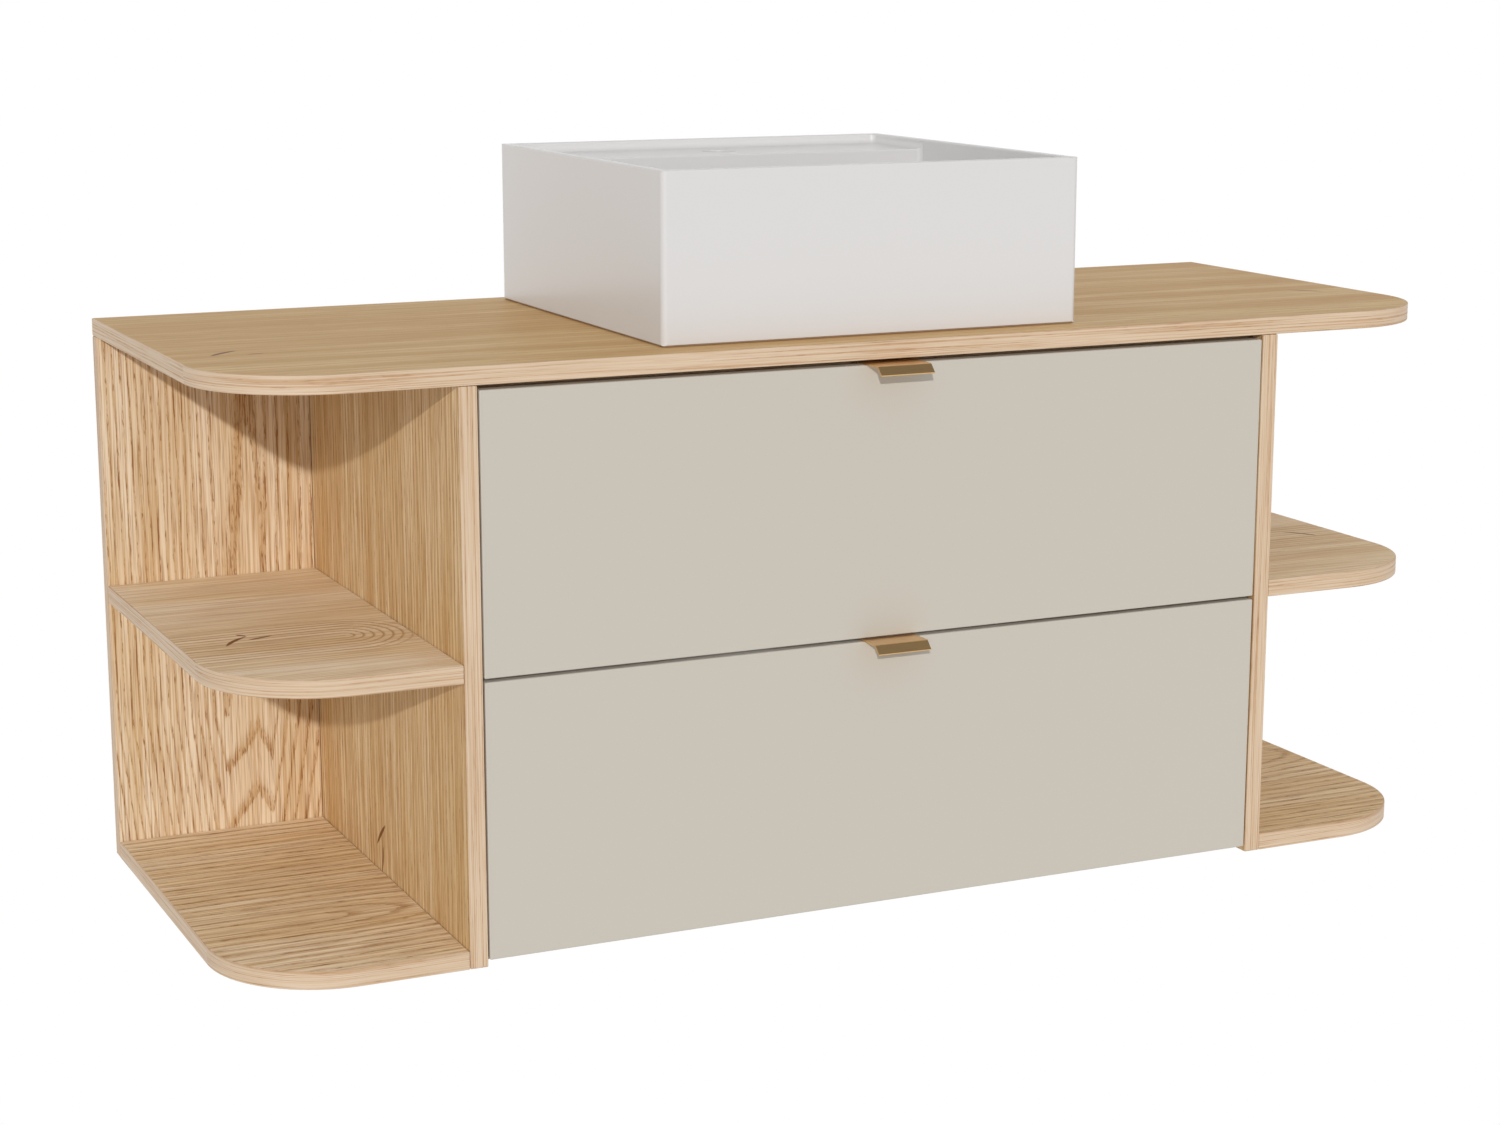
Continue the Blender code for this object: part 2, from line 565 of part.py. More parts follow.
def build_trap():
    """Bottle trap: inlet tube, its two union nuts, body with a side outlet, and the screwed cup."""
    axis = (0, BOWL_Y, 0)
    lip = WASTE_LOW_Z - GAP
    tube_r = PIPE_R - PIPE_WALL
    neck_z = TRAP_Z + 0.042
    turned("trap_inlet", [(WASTE_R - 0.0005, lip), (WASTE_R - 0.0005, lip - 0.002), (PIPE_R, lip - 0.004),
                          (PIPE_R, TRAP_Z - 0.050), (tube_r, TRAP_Z - 0.050), (tube_r, lip)], PLASTIC, axis)
    nut = WASTE_R + GAP
    turned("trap_top_nut", [(0.027, lip + 0.012), (0.028, lip - 0.010), (PIPE_R + GAP, lip - 0.010),
                            (PIPE_R + GAP, lip - 0.0065), (nut, lip - 0.0045), (nut, lip + 0.012)],
           PLASTIC, axis)
    neck_nut = ring_profile(UNION_R, PIPE_R + GAP, neck_z + GAP, neck_z + UNION_H)
    turned("trap_neck_nut", neck_nut, PLASTIC, axis)

    body_low = TRAP_Z - 0.030
    shoulder = TRAP_Z + 0.026
    body = turned("trap_body", [(0.0, neck_z), (0.022, neck_z), (0.022, shoulder + 0.006),
                                (TRAP_R, shoulder), (TRAP_R, body_low), (0.0, body_low)], PLASTIC, axis)
    stub_end = BOWL_Y + 0.055
    stub = rod_profile(0.0205, 0.0, stub_end - BOWL_Y)
    combine(body, round_cutter("stub", stub, (0, BOWL_Y, TRAP_Z), along_y=True), "UNION")
    inner = TRAP_R - TRAP_WALL
    chamber = [(0.0, neck_z + 0.01), (PIPE_R + GAP, neck_z + 0.01), (PIPE_R + GAP, shoulder + 0.002),
               (inner, shoulder - 0.004), (inner, body_low - 0.01), (0.0, body_low - 0.01)]
    combine(body, round_cutter("chamber", chamber, axis))
    stub_bore = rod_profile(PIPE_R + GAP, 0.0, 0.10)
    combine(body, round_cutter("stub_bore", stub_bore, (0, BOWL_Y, TRAP_Z), along_y=True))

    rim = body_low - GAP
    cup_in = CUP_R - TRAP_WALL
    turned("trap_cup", [(0.0, CUP_LOW_Z + TRAP_WALL), (CUP_R - 0.014, CUP_LOW_Z + TRAP_WALL),
                        (cup_in - 0.003, CUP_LOW_Z + 0.014), (cup_in - 0.003, rim), (CUP_R, rim),
                        (CUP_R, rim - 0.016), (CUP_R - 0.003, rim - 0.018),
                        (CUP_R - 0.003, CUP_LOW_Z + 0.012), (CUP_R - 0.012, CUP_LOW_Z),
                        (0.0, CUP_LOW_Z)], PLASTIC, axis)
    build_outlet(stub_end)


def build_outlet(stub_end):
    """Outlet pipe to the wall, its union nut on the trap and the rosette against the wall."""
    start = BOWL_Y + 0.034
    bore = PIPE_R + GAP
    rosette = [(ROSETTE_R, 0.0), (ROSETTE_R, -0.003), (0.020, -0.010), (bore, -0.010), (bore, 0.0)]
    pieces = (
        ("trap_outlet", ring_profile(PIPE_R, PIPE_R - PIPE_WALL, start, 0.0), CHROME),
        ("trap_outlet_nut", ring_profile(UNION_R, bore, stub_end + GAP, stub_end + UNION_H), PLASTIC),
        ("wall_rosette", rosette, CHROME),
    )
    for name, outline, material in pieces:
        piece = turned(name, outline, material, (0, 0, TRAP_Z))
        piece.rotation_euler.x = -math.pi / 2


# ---- assembly -----------------------------------------------------------------------------------
build_worktop()
for bay_label, bay_side in SIDES:
    build_side_bay(bay_label, bay_side)
    build_hanger(bay_label, bay_side)
build_case_rails()

upper = add_empty("upper_drawer_carrier", (0, -DEPTH / 2, UPPER_BOX_Z + RUNNER_LIFT))
lower = add_empty("lower_drawer_carrier", (0, -DEPTH / 2, LOWER_BOX_Z + RUNNER_LIFT))
plug = add_empty("waste_plug_carrier", (0, BOWL_Y, BOWL_LOW_Z))
build_upper_drawer(upper)
build_lower_drawer(lower)
build_runners("upper", UPPER_BOX_Z, upper)
build_runners("lower", LOWER_BOX_Z, lower)
build_basin()
build_basin_seal()
build_waste(plug)
build_trap()
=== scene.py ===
"""Wall-hung oak vanity with two lacquered drawers, open side bays and a ceramic vessel basin.

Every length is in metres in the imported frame: X along the vanity, the wall at Y = 0, Z up.
"""
import math

import bmesh
import bpy
import numpy as np
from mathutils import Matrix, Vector
from mathutils.geometry import tessellate_polygon


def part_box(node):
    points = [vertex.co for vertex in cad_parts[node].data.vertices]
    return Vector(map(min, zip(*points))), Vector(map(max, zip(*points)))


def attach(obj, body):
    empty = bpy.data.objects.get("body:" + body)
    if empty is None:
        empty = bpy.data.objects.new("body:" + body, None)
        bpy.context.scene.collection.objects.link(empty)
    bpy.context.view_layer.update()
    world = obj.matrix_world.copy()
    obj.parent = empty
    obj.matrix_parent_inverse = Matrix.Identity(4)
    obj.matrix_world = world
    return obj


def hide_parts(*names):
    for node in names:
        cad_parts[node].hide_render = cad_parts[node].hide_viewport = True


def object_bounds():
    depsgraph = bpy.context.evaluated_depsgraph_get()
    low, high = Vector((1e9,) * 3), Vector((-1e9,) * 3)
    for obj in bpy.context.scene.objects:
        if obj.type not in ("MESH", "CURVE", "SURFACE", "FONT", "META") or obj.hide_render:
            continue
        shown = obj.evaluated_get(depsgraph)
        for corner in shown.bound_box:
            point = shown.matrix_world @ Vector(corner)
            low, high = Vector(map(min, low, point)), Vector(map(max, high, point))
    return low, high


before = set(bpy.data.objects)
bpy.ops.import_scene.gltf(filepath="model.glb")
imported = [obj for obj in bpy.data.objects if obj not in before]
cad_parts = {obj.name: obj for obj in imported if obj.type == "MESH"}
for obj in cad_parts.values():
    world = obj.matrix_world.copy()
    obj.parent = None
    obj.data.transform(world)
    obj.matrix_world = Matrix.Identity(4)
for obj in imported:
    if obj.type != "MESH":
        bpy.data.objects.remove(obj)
cad_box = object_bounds()

# ---- studio -------------------------------------------------------------------------------------
# A white sweep in an even white room, with one small key light low in front on the left. The vanity
# hangs at its usual height above a plain floor. Gloss sees a darker ceiling, as a real studio has.
FLOOR_DROP = 0.335
FLOOR_SIZE = 60.0
ROOM_LIGHT = 0.62
ROOM_LEFT = 0.50
GLOSS_HORIZON = 1.10
GLOSS_CEILING = 0.16
KEY_LIGHT = 1.60
KEY_ANGLE = math.radians(1.2)
KEY_TRAVEL = Vector((0.424, 0.848, -0.318))
CAMERA_PLACE = (-1.1564, -2.6509, 0.3803)
CAMERA_TURN = (math.radians(78.137), 0.0, math.radians(-24.804))
CAMERA_LENS = 69.0


def linear(hex_colour):
    """An sRGB hex colour as linear RGBA."""
    srgb = np.array([int(hex_colour[i:i + 2], 16) for i in (1, 3, 5)]) / 255.0
    rgb = np.where(srgb <= 0.04045, srgb / 12.92, ((srgb + 0.055) / 1.055) ** 2.4)
    return (*rgb.tolist(), 1.0)


def add(tree, kind, links=None, out=0, **settings):
    """Adds a node and returns one of its outputs. `links` gives each input a value or a socket."""
    node = tree.nodes.new(kind)
    for name, value in settings.items():
        setattr(node, name, value)
    for name, value in (links or {}).items():
        if isinstance(value, bpy.types.NodeSocket):
            tree.links.new(value, node.inputs[name])
        else:
            node.inputs[name].default_value = value
    return node.outputs[out] if node.outputs else node


scene = bpy.context.scene
scene.view_settings.view_transform = "Standard"
scene.world = bpy.data.worlds.new("studio_room")
scene.world.use_nodes = True
room = scene.world.node_tree
room.nodes.clear()
direction = add(room, "ShaderNodeTexCoord", out=0)
height = add(room, "ShaderNodeSeparateXYZ", {0: direction}, out=2)
ceiling = add(room, "ShaderNodeMapRange", {"Value": height, "From Min": 0.1, "From Max": 0.9,
                                           "To Min": GLOSS_HORIZON, "To Max": GLOSS_CEILING})
seen = add(room, "ShaderNodeLightPath", out=0)
gloss = add(room, "ShaderNodeLightPath", out=3)
sideways = add(room, "ShaderNodeSeparateXYZ", {0: direction}, out=0)
soft = add(room, "ShaderNodeMapRange", {"Value": sideways, "From Min": -1.0, "From Max": 0.0,
                                        "To Min": ROOM_LEFT, "To Max": ROOM_LIGHT})
lit = add(room, "ShaderNodeMix", {0: gloss, 2: soft, 3: ceiling})
level = add(room, "ShaderNodeMix", {0: seen, 2: lit, 3: 1.0})
glow = add(room, "ShaderNodeBackground", {"Color": (1.0, 1.0, 1.0, 1.0), "Strength": level})
add(room, "ShaderNodeOutputWorld", {"Surface": glow})

key = bpy.data.lights.new("key_light", "SUN")
key.energy = KEY_LIGHT
key.angle = KEY_ANGLE
key_object = bpy.data.objects.new("key_light", key)
key_object.rotation_euler = KEY_TRAVEL.to_track_quat("-Z", "Y").to_euler()
scene.collection.objects.link(key_object)

camera = bpy.data.cameras.new("camera")
camera.lens = CAMERA_LENS
camera_object = bpy.data.objects.new("camera", camera)
camera_object.location = CAMERA_PLACE
camera_object.rotation_euler = CAMERA_TURN
scene.collection.objects.link(camera_object)
scene.camera = camera_object

floor_level = cad_box[0][2] - FLOOR_DROP
bpy.ops.mesh.primitive_plane_add(size=FLOOR_SIZE, location=(0.0, 0.0, floor_level))
floor = bpy.context.object
floor.name = "studio_floor"
white = bpy.data.materials.new("white_studio_floor")
white.use_nodes = True
white.node_tree.nodes.clear()
shine = add(white.node_tree, "ShaderNodeEmission", {"Color": (1.0, 1.0, 1.0, 1.0), "Strength": 1.0})
add(white.node_tree, "ShaderNodeOutputMaterial", {"Surface": shine})
floor.data.materials.append(white)
floor.visible_diffuse = False
floor.visible_glossy = False
floor.visible_shadow = False

# ---- worktop ------------------------------------------------------------------------------------
# One 16 mm board with crown-cut oak veneer on both faces and an oak edge band round it. Its front
# corners are rounded, its arrises are sanded, and it is drilled for the waste and the tap's hoses.
ARRIS = 0.0009                  # sanded edge of a veneered board
CORNER = 0.0012                 # a square corner of a veneered board
WASTE_HOLE = 0.024              # radius of the waste's hole, and of the hoses'
HOSE_HOLE = 0.030
FRONT_CORNER = 0.105
ARC_STEP = 0.004                # radius for which a corner's arc gets one more step

OAK_DARK = "#BF9257"
OAK_PORE = "#8F5A26"
CRACK_BROWN = "#7E4A1A"


def rounded_outline(corners, radii):
    """A closed outline with each corner replaced by an arc, and its unit normals pointing outwards.

    Corners run anticlockwise. An arc touches both sides at r / tan(half the corner's angle) from the
    corner, and its centre lies on the bisector at r / sin(half the angle).
    """
    corners = np.asarray(corners, float)
    points, normals = [], []
    for i, (corner, radius) in enumerate(zip(corners, radii)):
        to_prev = corners[i - 1] - corner
        to_next = corners[(i + 1) % len(corners)] - corner
        to_prev /= np.linalg.norm(to_prev)
        to_next /= np.linalg.norm(to_next)
        half = 0.5 * math.acos(float(np.clip(to_prev @ to_next, -1.0, 1.0)))
        bisector = (to_prev + to_next) / np.linalg.norm(to_prev + to_next)
        centre = corner + bisector * radius / math.sin(half)
        start = corner + to_prev * radius / math.tan(half) - centre
        turn = math.pi - 2.0 * half
        convex = to_next[0] * to_prev[1] - to_next[1] * to_prev[0] > 0.0
        steps = 4 + int(radius / ARC_STEP)
        angles = np.linspace(0.0, turn if convex else -turn, steps + 1)
        cos, sin = np.cos(angles), np.sin(angles)
        arc = np.stack([start[0] * cos - start[1] * sin, start[0] * sin + start[1] * cos], 1)
        points.append(centre + arc)
        normals.append(arc / radius * (1.0 if convex else -1.0))
    return np.concatenate(points), np.concatenate(normals)


def round_hole(centre, radius, steps=64):
    """A circular hole's outline, run clockwise, with normals that point into the hole."""
    angles = -np.linspace(0.0, 2.0 * math.pi, steps, endpoint=False)
    ring = np.stack([np.cos(angles), np.sin(angles)], 1)
    return np.asarray(centre) + radius * ring, -ring


def limits(node):
    """The low and high corner of a CAD node's box."""
    return [np.array(corner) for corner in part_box(node)]


def make_object(name, vertices, faces, materials, body, replaced):
    """A mesh object that stands for CAD nodes and rides on their body."""
    mesh = bpy.data.meshes.new(name)
    mesh.from_pydata(vertices, [], faces)
    mesh.shade_smooth()
    for material in materials:
        mesh.materials.append(material)
    piece = bpy.data.objects.new(name, mesh)
    bpy.context.scene.collection.objects.link(piece)
    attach(piece, body)
    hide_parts(*replaced)
    return piece


def plate(node, body, materials, outline, axis, span, arris, holes=(), grain_first=True):
    """A flat piece: outlines in the plane across `axis`, carried over its thickness with round arrises.

    Each outline point moves along its normal by the arris profile's inset as the height goes from one
    face to the other, and the two faces are filled between the outlines. The UV map holds metres along
    and across the grain on the faces, and metres along and across the edge on the edges.
    """
    first, second = (axis + 1) % 3, (axis + 2) % 3
    low, high = span
    bend = np.linspace(math.pi / 2, 0.0, 4)
    inset = arris * (1.0 - np.cos(bend))
    rise = arris * (1.0 - np.sin(bend))
    inset = np.concatenate([inset, inset[::-1]])
    level = np.concatenate([high - rise, (low + rise)[::-1]])
    tilt = np.concatenate([bend, -bend[::-1]])
    rings = len(inset)

    vertices, normals, faces, uvs, tops, bottoms = [], [], [], [], [], []
    start = 0
    for points, outward in (outline, *holes):
        count = len(points)
        grid = np.zeros((count, rings, 3))
        flat = points[:, None, :] - outward[:, None, :] * inset[None, :, None]
        grid[..., first], grid[..., second], grid[..., axis] = flat[..., 0], flat[..., 1], level
        lean = np.zeros((count, rings, 3))
        lean[..., first] = outward[:, None, 0] * np.cos(tilt)
        lean[..., second] = outward[:, None, 1] * np.cos(tilt)
        lean[..., axis] = np.sin(tilt)
        vertices.append(grid.reshape(-1, 3))
        normals.append(lean.reshape(-1, 3))
        i, j = (a.ravel() for a in np.meshgrid(np.arange(count), np.arange(rings - 1), indexing="ij"))
        after = (i + 1) % count
        quads = np.stack([i * rings + j, i * rings + j + 1, after * rings + j + 1, after * rings + j], 1)
        faces += (quads + start).tolist()
        length = np.concatenate([[0.0], np.cumsum(np.linalg.norm(np.roll(points, -1, 0) - points, axis=1))])
        s = np.stack([length[i], length[i], length[i + 1], length[i + 1]], 1)
        t = np.stack([level[j], level[j + 1], level[j + 1], level[j]], 1)
        uvs.append(np.stack([s, t], 2).reshape(-1, 2))
        tops.append(start + np.arange(count) * rings)
        bottoms.append(start + np.arange(count) * rings + rings - 1)
        start += count * rings
    vertices = np.concatenate(vertices)
    edge_faces = len(faces)

    for ends, sign in ((tops, 1.0), (bottoms, -1.0)):
        loops = [[Vector((*vertices[k][[first, second]], 0.0)) for k in end] for end in ends]
        order = np.concatenate(ends)
        triangles = order[np.array(tessellate_polygon(loops))]
        a, b, c = (vertices[triangles[:, k]][:, [first, second]] for k in range(3))
        area = (b - a)[:, 0] * (c - a)[:, 1] - (b - a)[:, 1] * (c - a)[:, 0]
        triangles = triangles[np.abs(area) > 1e-12]
        area = area[np.abs(area) > 1e-12]
        triangles[area * sign < 0.0] = triangles[area * sign < 0.0][:, ::-1]
        faces += triangles.tolist()
        face_uv = vertices[triangles.ravel()][:, [first, second]]
        uvs.append(face_uv if grain_first else face_uv[:, ::-1])

    piece = make_object(node + "_finished", vertices.tolist(), faces, materials, body, [node])
    mesh = piece.data
    mesh.normals_split_custom_set_from_vertices(np.concatenate(normals).tolist())
    mesh.uv_layers.new(name="grain").data.foreach_set("uv", np.concatenate(uvs).ravel())
    index = np.zeros(len(faces), np.int32)
    index[:edge_faces] = len(materials) - 1
    mesh.polygons.foreach_set("material_index", index)
    return piece


def blank(name):
    """An empty material and its node tree."""
    material = bpy.data.materials.new(name)
    material.use_nodes = True
    material.node_tree.nodes.clear()
    return material, material.node_tree


def fibre(tree, grain, length, width, seed, detail=2.0, ramp=None):
    """Noise stretched along the grain, with cells of about length by width metres. `ramp` parts it into
    strands: nothing below its first value, rising to its third value's strength at its second."""
    stretched = add(tree, "ShaderNodeVectorMath", {0: grain, 1: (1.0 / length, 1.0 / width, 0.0),
                                                   2: (seed * 3.17, seed * 7.31, seed)},
                    operation="MULTIPLY_ADD")
    noise = add(tree, "ShaderNodeTexNoise", {"Vector": stretched, "Scale": 1.0, "Detail": detail,
                                             "Roughness": 0.55})
    if ramp is None:
        return noise
    low, high, strength = ramp
    return add(tree, "ShaderNodeMapRange", {"Value": noise, "From Min": low, "From Max": high,
                                            "To Max": strength}, interpolation_type="SMOOTHSTEP")


def stained(tree, ground, layers):
    """A ground colour with others laid over it in turn, each by its own amount."""
    colour = linear(ground)
    for amount, shade in layers:
        colour = add(tree, "ShaderNodeMix", {0: amount, 6: colour, 7: linear(shade)}, out=2,
                     data_type="RGBA")
    return colour


def crack(tree, grain, place, turn, length, width, bend):
    """A thin spindle-shaped bark line: 1 inside the ellipse length by width, its axis bent to a parabola."""
    local = add(tree, "ShaderNodeMapping", {"Vector": grain, "Location": (*place, 0.0),
                                            "Rotation": (0.0, 0.0, turn),
                                            "Scale": (length / 2, width / 2, 1.0)}, vector_type="TEXTURE")
    x = add(tree, "ShaderNodeSeparateXYZ", {0: local}, out=0)
    y = add(tree, "ShaderNodeSeparateXYZ", {0: local}, out=1)
    xx = add(tree, "ShaderNodeMath", {0: x, 1: x}, operation="MULTIPLY")
    sag = add(tree, "ShaderNodeMath", {0: xx, 1: bend, 2: y}, operation="MULTIPLY_ADD")
    ellipse = add(tree, "ShaderNodeMath", {0: sag, 1: sag, 2: xx}, operation="MULTIPLY_ADD")
    return add(tree, "ShaderNodeMapRange", {"Value": ellipse, "From Min": 0.45, "From Max": 1.15,
                                            "To Min": 1.0, "To Max": 0.0},
               interpolation_type="SMOOTHSTEP")


def wood_surface(tree, colour, height, roughness, depth):
    """Matt-lacquered wood: open pores as bump, and a soft broken sheen."""
    bump = add(tree, "ShaderNodeBump", {"Strength": 0.35, "Distance": depth, "Height": height})
    shader = add(tree, "ShaderNodeBsdfPrincipled", {"Base Color": colour, "Roughness": roughness,
                                                    "Normal": bump, "Specular IOR Level": 0.3})
    add(tree, "ShaderNodeOutputMaterial", {"Surface": shader})


def arches(tree, along, across, heart, slope):
    """Metres from a heart line. The lines run straight up to the heart, and past it they close in an
    arch: the root of the squared distance across plus the squared distance past it times slope."""
    side = add(tree, "ShaderNodeMath", {0: across, 1: heart[1]}, operation="SUBTRACT")
    ahead = add(tree, "ShaderNodeMath", {0: along, 1: heart[0]}, operation="SUBTRACT")
    past = add(tree, "ShaderNodeMath", {0: ahead, 1: 0.0}, operation="MAXIMUM")
    rise = add(tree, "ShaderNodeMath", {0: past, 1: slope}, operation="MULTIPLY")
    rise_squared = add(tree, "ShaderNodeMath", {0: rise, 1: rise}, operation="MULTIPLY")
    squared = add(tree, "ShaderNodeMath", {0: side, 1: side, 2: rise_squared}, operation="MULTIPLY_ADD")
    return add(tree, "ShaderNodeMath", {0: squared, 1: 0.5}, operation="POWER")


def crests(tree, along, across, low, high, shape, bend_at, slowing):
    """Metres above a crest line drawn over the width from low to high, which holds (place, height)
    points. Past `bend_at` along the grain the lines stretch, so that they run nearly straight."""
    place = add(tree, "ShaderNodeMapRange", {"Value": across, "From Min": low, "From Max": high})
    line = add(tree, "ShaderNodeFloatCurve", {"Value": place})
    curve = line.node.mapping.curves[0]
    curve.points[0].location = shape[0]
    curve.points[1].location = shape[-1]
    for point in shape[1:-1]:
        curve.points.new(*point)
    for point in curve.points:
        point.handle_type = "VECTOR"
    line.node.mapping.update()
    slow = add(tree, "ShaderNodeMath", {0: along, 1: slowing, 2: bend_at * (1.0 - slowing)},
               operation="MULTIPLY_ADD")
    level = add(tree, "ShaderNodeMath", {0: along, 1: slow}, operation="MINIMUM")
    return add(tree, "ShaderNodeMath", {0: level, 1: line}, operation="SUBTRACT")


def oak_veneer(name, seed, light, mid, figure, pitch, ragged, figured, lines, pores, reach=9.0, cracks=()):
    """Crown-cut oak veneer under matt lacquer. The eye sees pale honey wood with long fine lines, and
    brown pore dashes crowded along each growth ring. The dashes are drawn at twice their real width.

    `figure` gives metres across the growth rings, `pitch` is one ring, `ragged` is how far its edge
    strays in pitches, and `figured`, `lines` and `pores` say how strongly rings, fine lines and dashes
    show. Rings fade out past `reach`. A crack is a place, a turn, a length, a width and a bend.
    """
    material, tree = blank(name)
    grain = add(tree, "ShaderNodeUVMap", uv_map="grain")
    along = add(tree, "ShaderNodeSeparateXYZ", {0: grain}, out=0)
    across = add(tree, "ShaderNodeSeparateXYZ", {0: grain}, out=1)
    wander = fibre(tree, grain, 0.40, 0.10, seed)
    drift = add(tree, "ShaderNodeMath", {0: wander, 1: 0.010, 2: -0.005}, operation="MULTIPLY_ADD")
    shifted = add(tree, "ShaderNodeMath", {0: across, 1: drift}, operation="ADD")
    kind, *shape = figure
    metres = kind(tree, along, shifted, *shape)
    ripple = fibre(tree, grain, 0.030, 0.0026, seed + 1.3, 3.0)
    uneven = add(tree, "ShaderNodeMath", {0: ripple, 1: pitch * ragged, 2: metres},
                 operation="MULTIPLY_ADD")
    count = add(tree, "ShaderNodeMath", {0: uneven, 1: 1.0 / pitch}, operation="MULTIPLY")
    year = add(tree, "ShaderNodeMath", {0: count}, operation="FRACT")
    early = add(tree, "ShaderNodeFloatCurve", {"Value": year})      # porous wood at each ring's start
    curve = early.node.mapping.curves[0]
    curve.points[0].location = (0.0, 0.2)
    curve.points[1].location = (1.0, 0.2)
    for point in ((0.05, 1.0), (0.20, 0.7), (0.42, 0.0), (0.85, 0.0)):
        curve.points.new(*point)
    early.node.mapping.update()
    fade = add(tree, "ShaderNodeMapRange", {"Value": metres, "From Min": reach * 0.8,
                                            "From Max": reach * 1.2, "To Min": 1.0, "To Max": 0.0},
               interpolation_type="SMOOTHSTEP")
    ring = add(tree, "ShaderNodeMath", {0: early, 1: fade}, operation="MULTIPLY")

    long_dash = fibre(tree, grain, 0.060, 0.0014, seed + 2.1, ramp=(0.55, 0.64, pores))
    short_dash = fibre(tree, grain, 0.010, 0.0013, seed + 2.9, ramp=(0.53, 0.64, pores * 0.8))
    crowd = add(tree, "ShaderNodeMapRange", {"Value": ring, "To Min": 0.45, "To Max": 1.0})
    long_pore = add(tree, "ShaderNodeMath", {0: long_dash, 1: crowd}, operation="MULTIPLY")
    short_pore = add(tree, "ShaderNodeMath", {0: short_dash, 1: ring}, operation="MULTIPLY")
    pore = add(tree, "ShaderNodeMath", {0: long_pore, 1: short_pore}, operation="MAXIMUM")
    tinge = add(tree, "ShaderNodeMath", {0: ring, 1: figured}, operation="MULTIPLY")
    fine = fibre(tree, grain, 0.110, 0.0017, seed + 3.7, 3.0)
    hair = fibre(tree, grain, 0.110, 0.0017, seed + 3.7, 3.0, (0.44, 0.62, lines))
    band = fibre(tree, grain, 0.220, 0.0042, seed + 4.9, 3.0, (0.46, 0.66, lines * 0.6))
    tone = fibre(tree, grain, 0.50, 0.030, seed + 5.3, ramp=(0.35, 0.65, 1.0))

    layers = [(tone, mid), (hair, OAK_DARK), (band, OAK_DARK), (tinge, OAK_DARK), (pore, OAK_PORE)]
    height = add(tree, "ShaderNodeMath", {0: 1.0, 1: pore}, operation="SUBTRACT")
    for spindle in cracks:
        mark = crack(tree, grain, *spindle)
        layers.append((mark, CRACK_BROWN))
        height = add(tree, "ShaderNodeMath", {0: height, 1: mark}, operation="SUBTRACT")
    roughness = add(tree, "ShaderNodeMapRange", {"Value": fine, "To Min": 0.46, "To Max": 0.60})
    wood_surface(tree, stained(tree, light, layers), height, roughness, 0.0004)
    return material


def oak_edge(name, seed):
    """Oak edge band: a thin strip sliced lengthwise. The eye sees pale wood with ring lines a few
    millimetres apart and finer hairs, which run along the edge all the way round."""
    material, tree = blank(name)
    grain = add(tree, "ShaderNodeUVMap", uv_map="grain")
    ring = fibre(tree, grain, 0.26, 0.0015, seed, 3.0, (0.50, 0.60, 0.60))
    hair = fibre(tree, grain, 0.060, 0.0009, seed + 1.1, ramp=(0.45, 0.65, 0.45))
    dash = fibre(tree, grain, 0.020, 0.0011, seed + 1.9, ramp=(0.52, 0.66, 0.7))
    tone = fibre(tree, grain, 0.15, 0.006, seed + 4.1, 1.0)
    pore = add(tree, "ShaderNodeMath", {0: dash, 1: ring}, operation="MULTIPLY")
    colour = stained(tree, "#E0CBB3", ((tone, "#D2B899"), (hair, "#C8A078"), (ring, "#B98E62"),
                                       (pore, OAK_PORE)))
    height = add(tree, "ShaderNodeMath", {0: 1.0, 1: ring}, operation="SUBTRACT")
    wood_surface(tree, colour, height, 0.52, 0.0003)
    return material


def board(node, axis, face, edge, corners=(CORNER,) * 4, holes=(), grain_first=True, arris=ARRIS,
          body="cabinet"):
    """A rectangular board in its CAD node's place, with a radius for each corner."""
    low, high = limits(node)
    first, second = (axis + 1) % 3, (axis + 2) % 3
    rectangle = [(low[first], low[second]), (high[first], low[second]),
                 (high[first], high[second]), (low[first], high[second])]
    return plate(node, body, [face, edge], rounded_outline(rectangle, corners), axis,
                 (low[axis], high[axis]), arris, holes, grain_first)


X_AXIS, Y_AXIS, Z_AXIS = 0, 1, 2
oak_band = oak_edge("oak_edge_band_sliced", 11.0)
waste_centre = sum(limits("waste_plug")) / 2
basin_low, basin_high = limits("basin")
DECK_FRONT = -0.126             # front edge of the basin's tap deck
BASIN_WALL = 0.008
tap_centre = (0.0, (DECK_FRONT + basin_high[1] - BASIN_WALL) / 2)
worktop_oak = oak_veneer(
    "oak_veneer_worktop", 2.0, "#DDBD87", "#CDA469", (arches, (0.20, -0.24), 0.05),
    pitch=0.014, ragged=0.9, figured=0.30, lines=0.50, pores=0.30,
    cracks=(((-0.553, -0.288), 0.72, 0.040, 0.0056, 0.8),
            ((-0.528, -0.303), 0.10, 0.016, 0.0026, 0.0),
            ((0.548, -0.283), -0.85, 0.040, 0.0042, 0.6)))
board("worktop", Z_AXIS, worktop_oak, oak_band, (FRONT_CORNER, FRONT_CORNER, CORNER, CORNER),
      (round_hole(waste_centre[:2], WASTE_HOLE), round_hole(tap_centre, HOSE_HOLE)))

# ---- side bays ----------------------------------------------------------------------------------
# Each open bay is a divider with upright grain, a back panel against the wall and two shelves that
# butt against both. The panels are the worktop's board, and dowels hold them, so no fixing shows.
SIDES = (("left", -1), ("right", 1))
divider_oak = oak_veneer(
    "oak_veneer_dividers", 5.0, "#F2DCB6", "#E2C394", (arches, (0.9, 0.35), 0.02),
    pitch=0.0085, ragged=0.9, figured=0.45, lines=0.85, pores=0.70,
    cracks=(((-0.4077, -0.2050), -0.83, 0.038, 0.0048, 0.5),
            ((-0.4314, -0.2090), -0.17, 0.030, 0.0042, -0.5)))
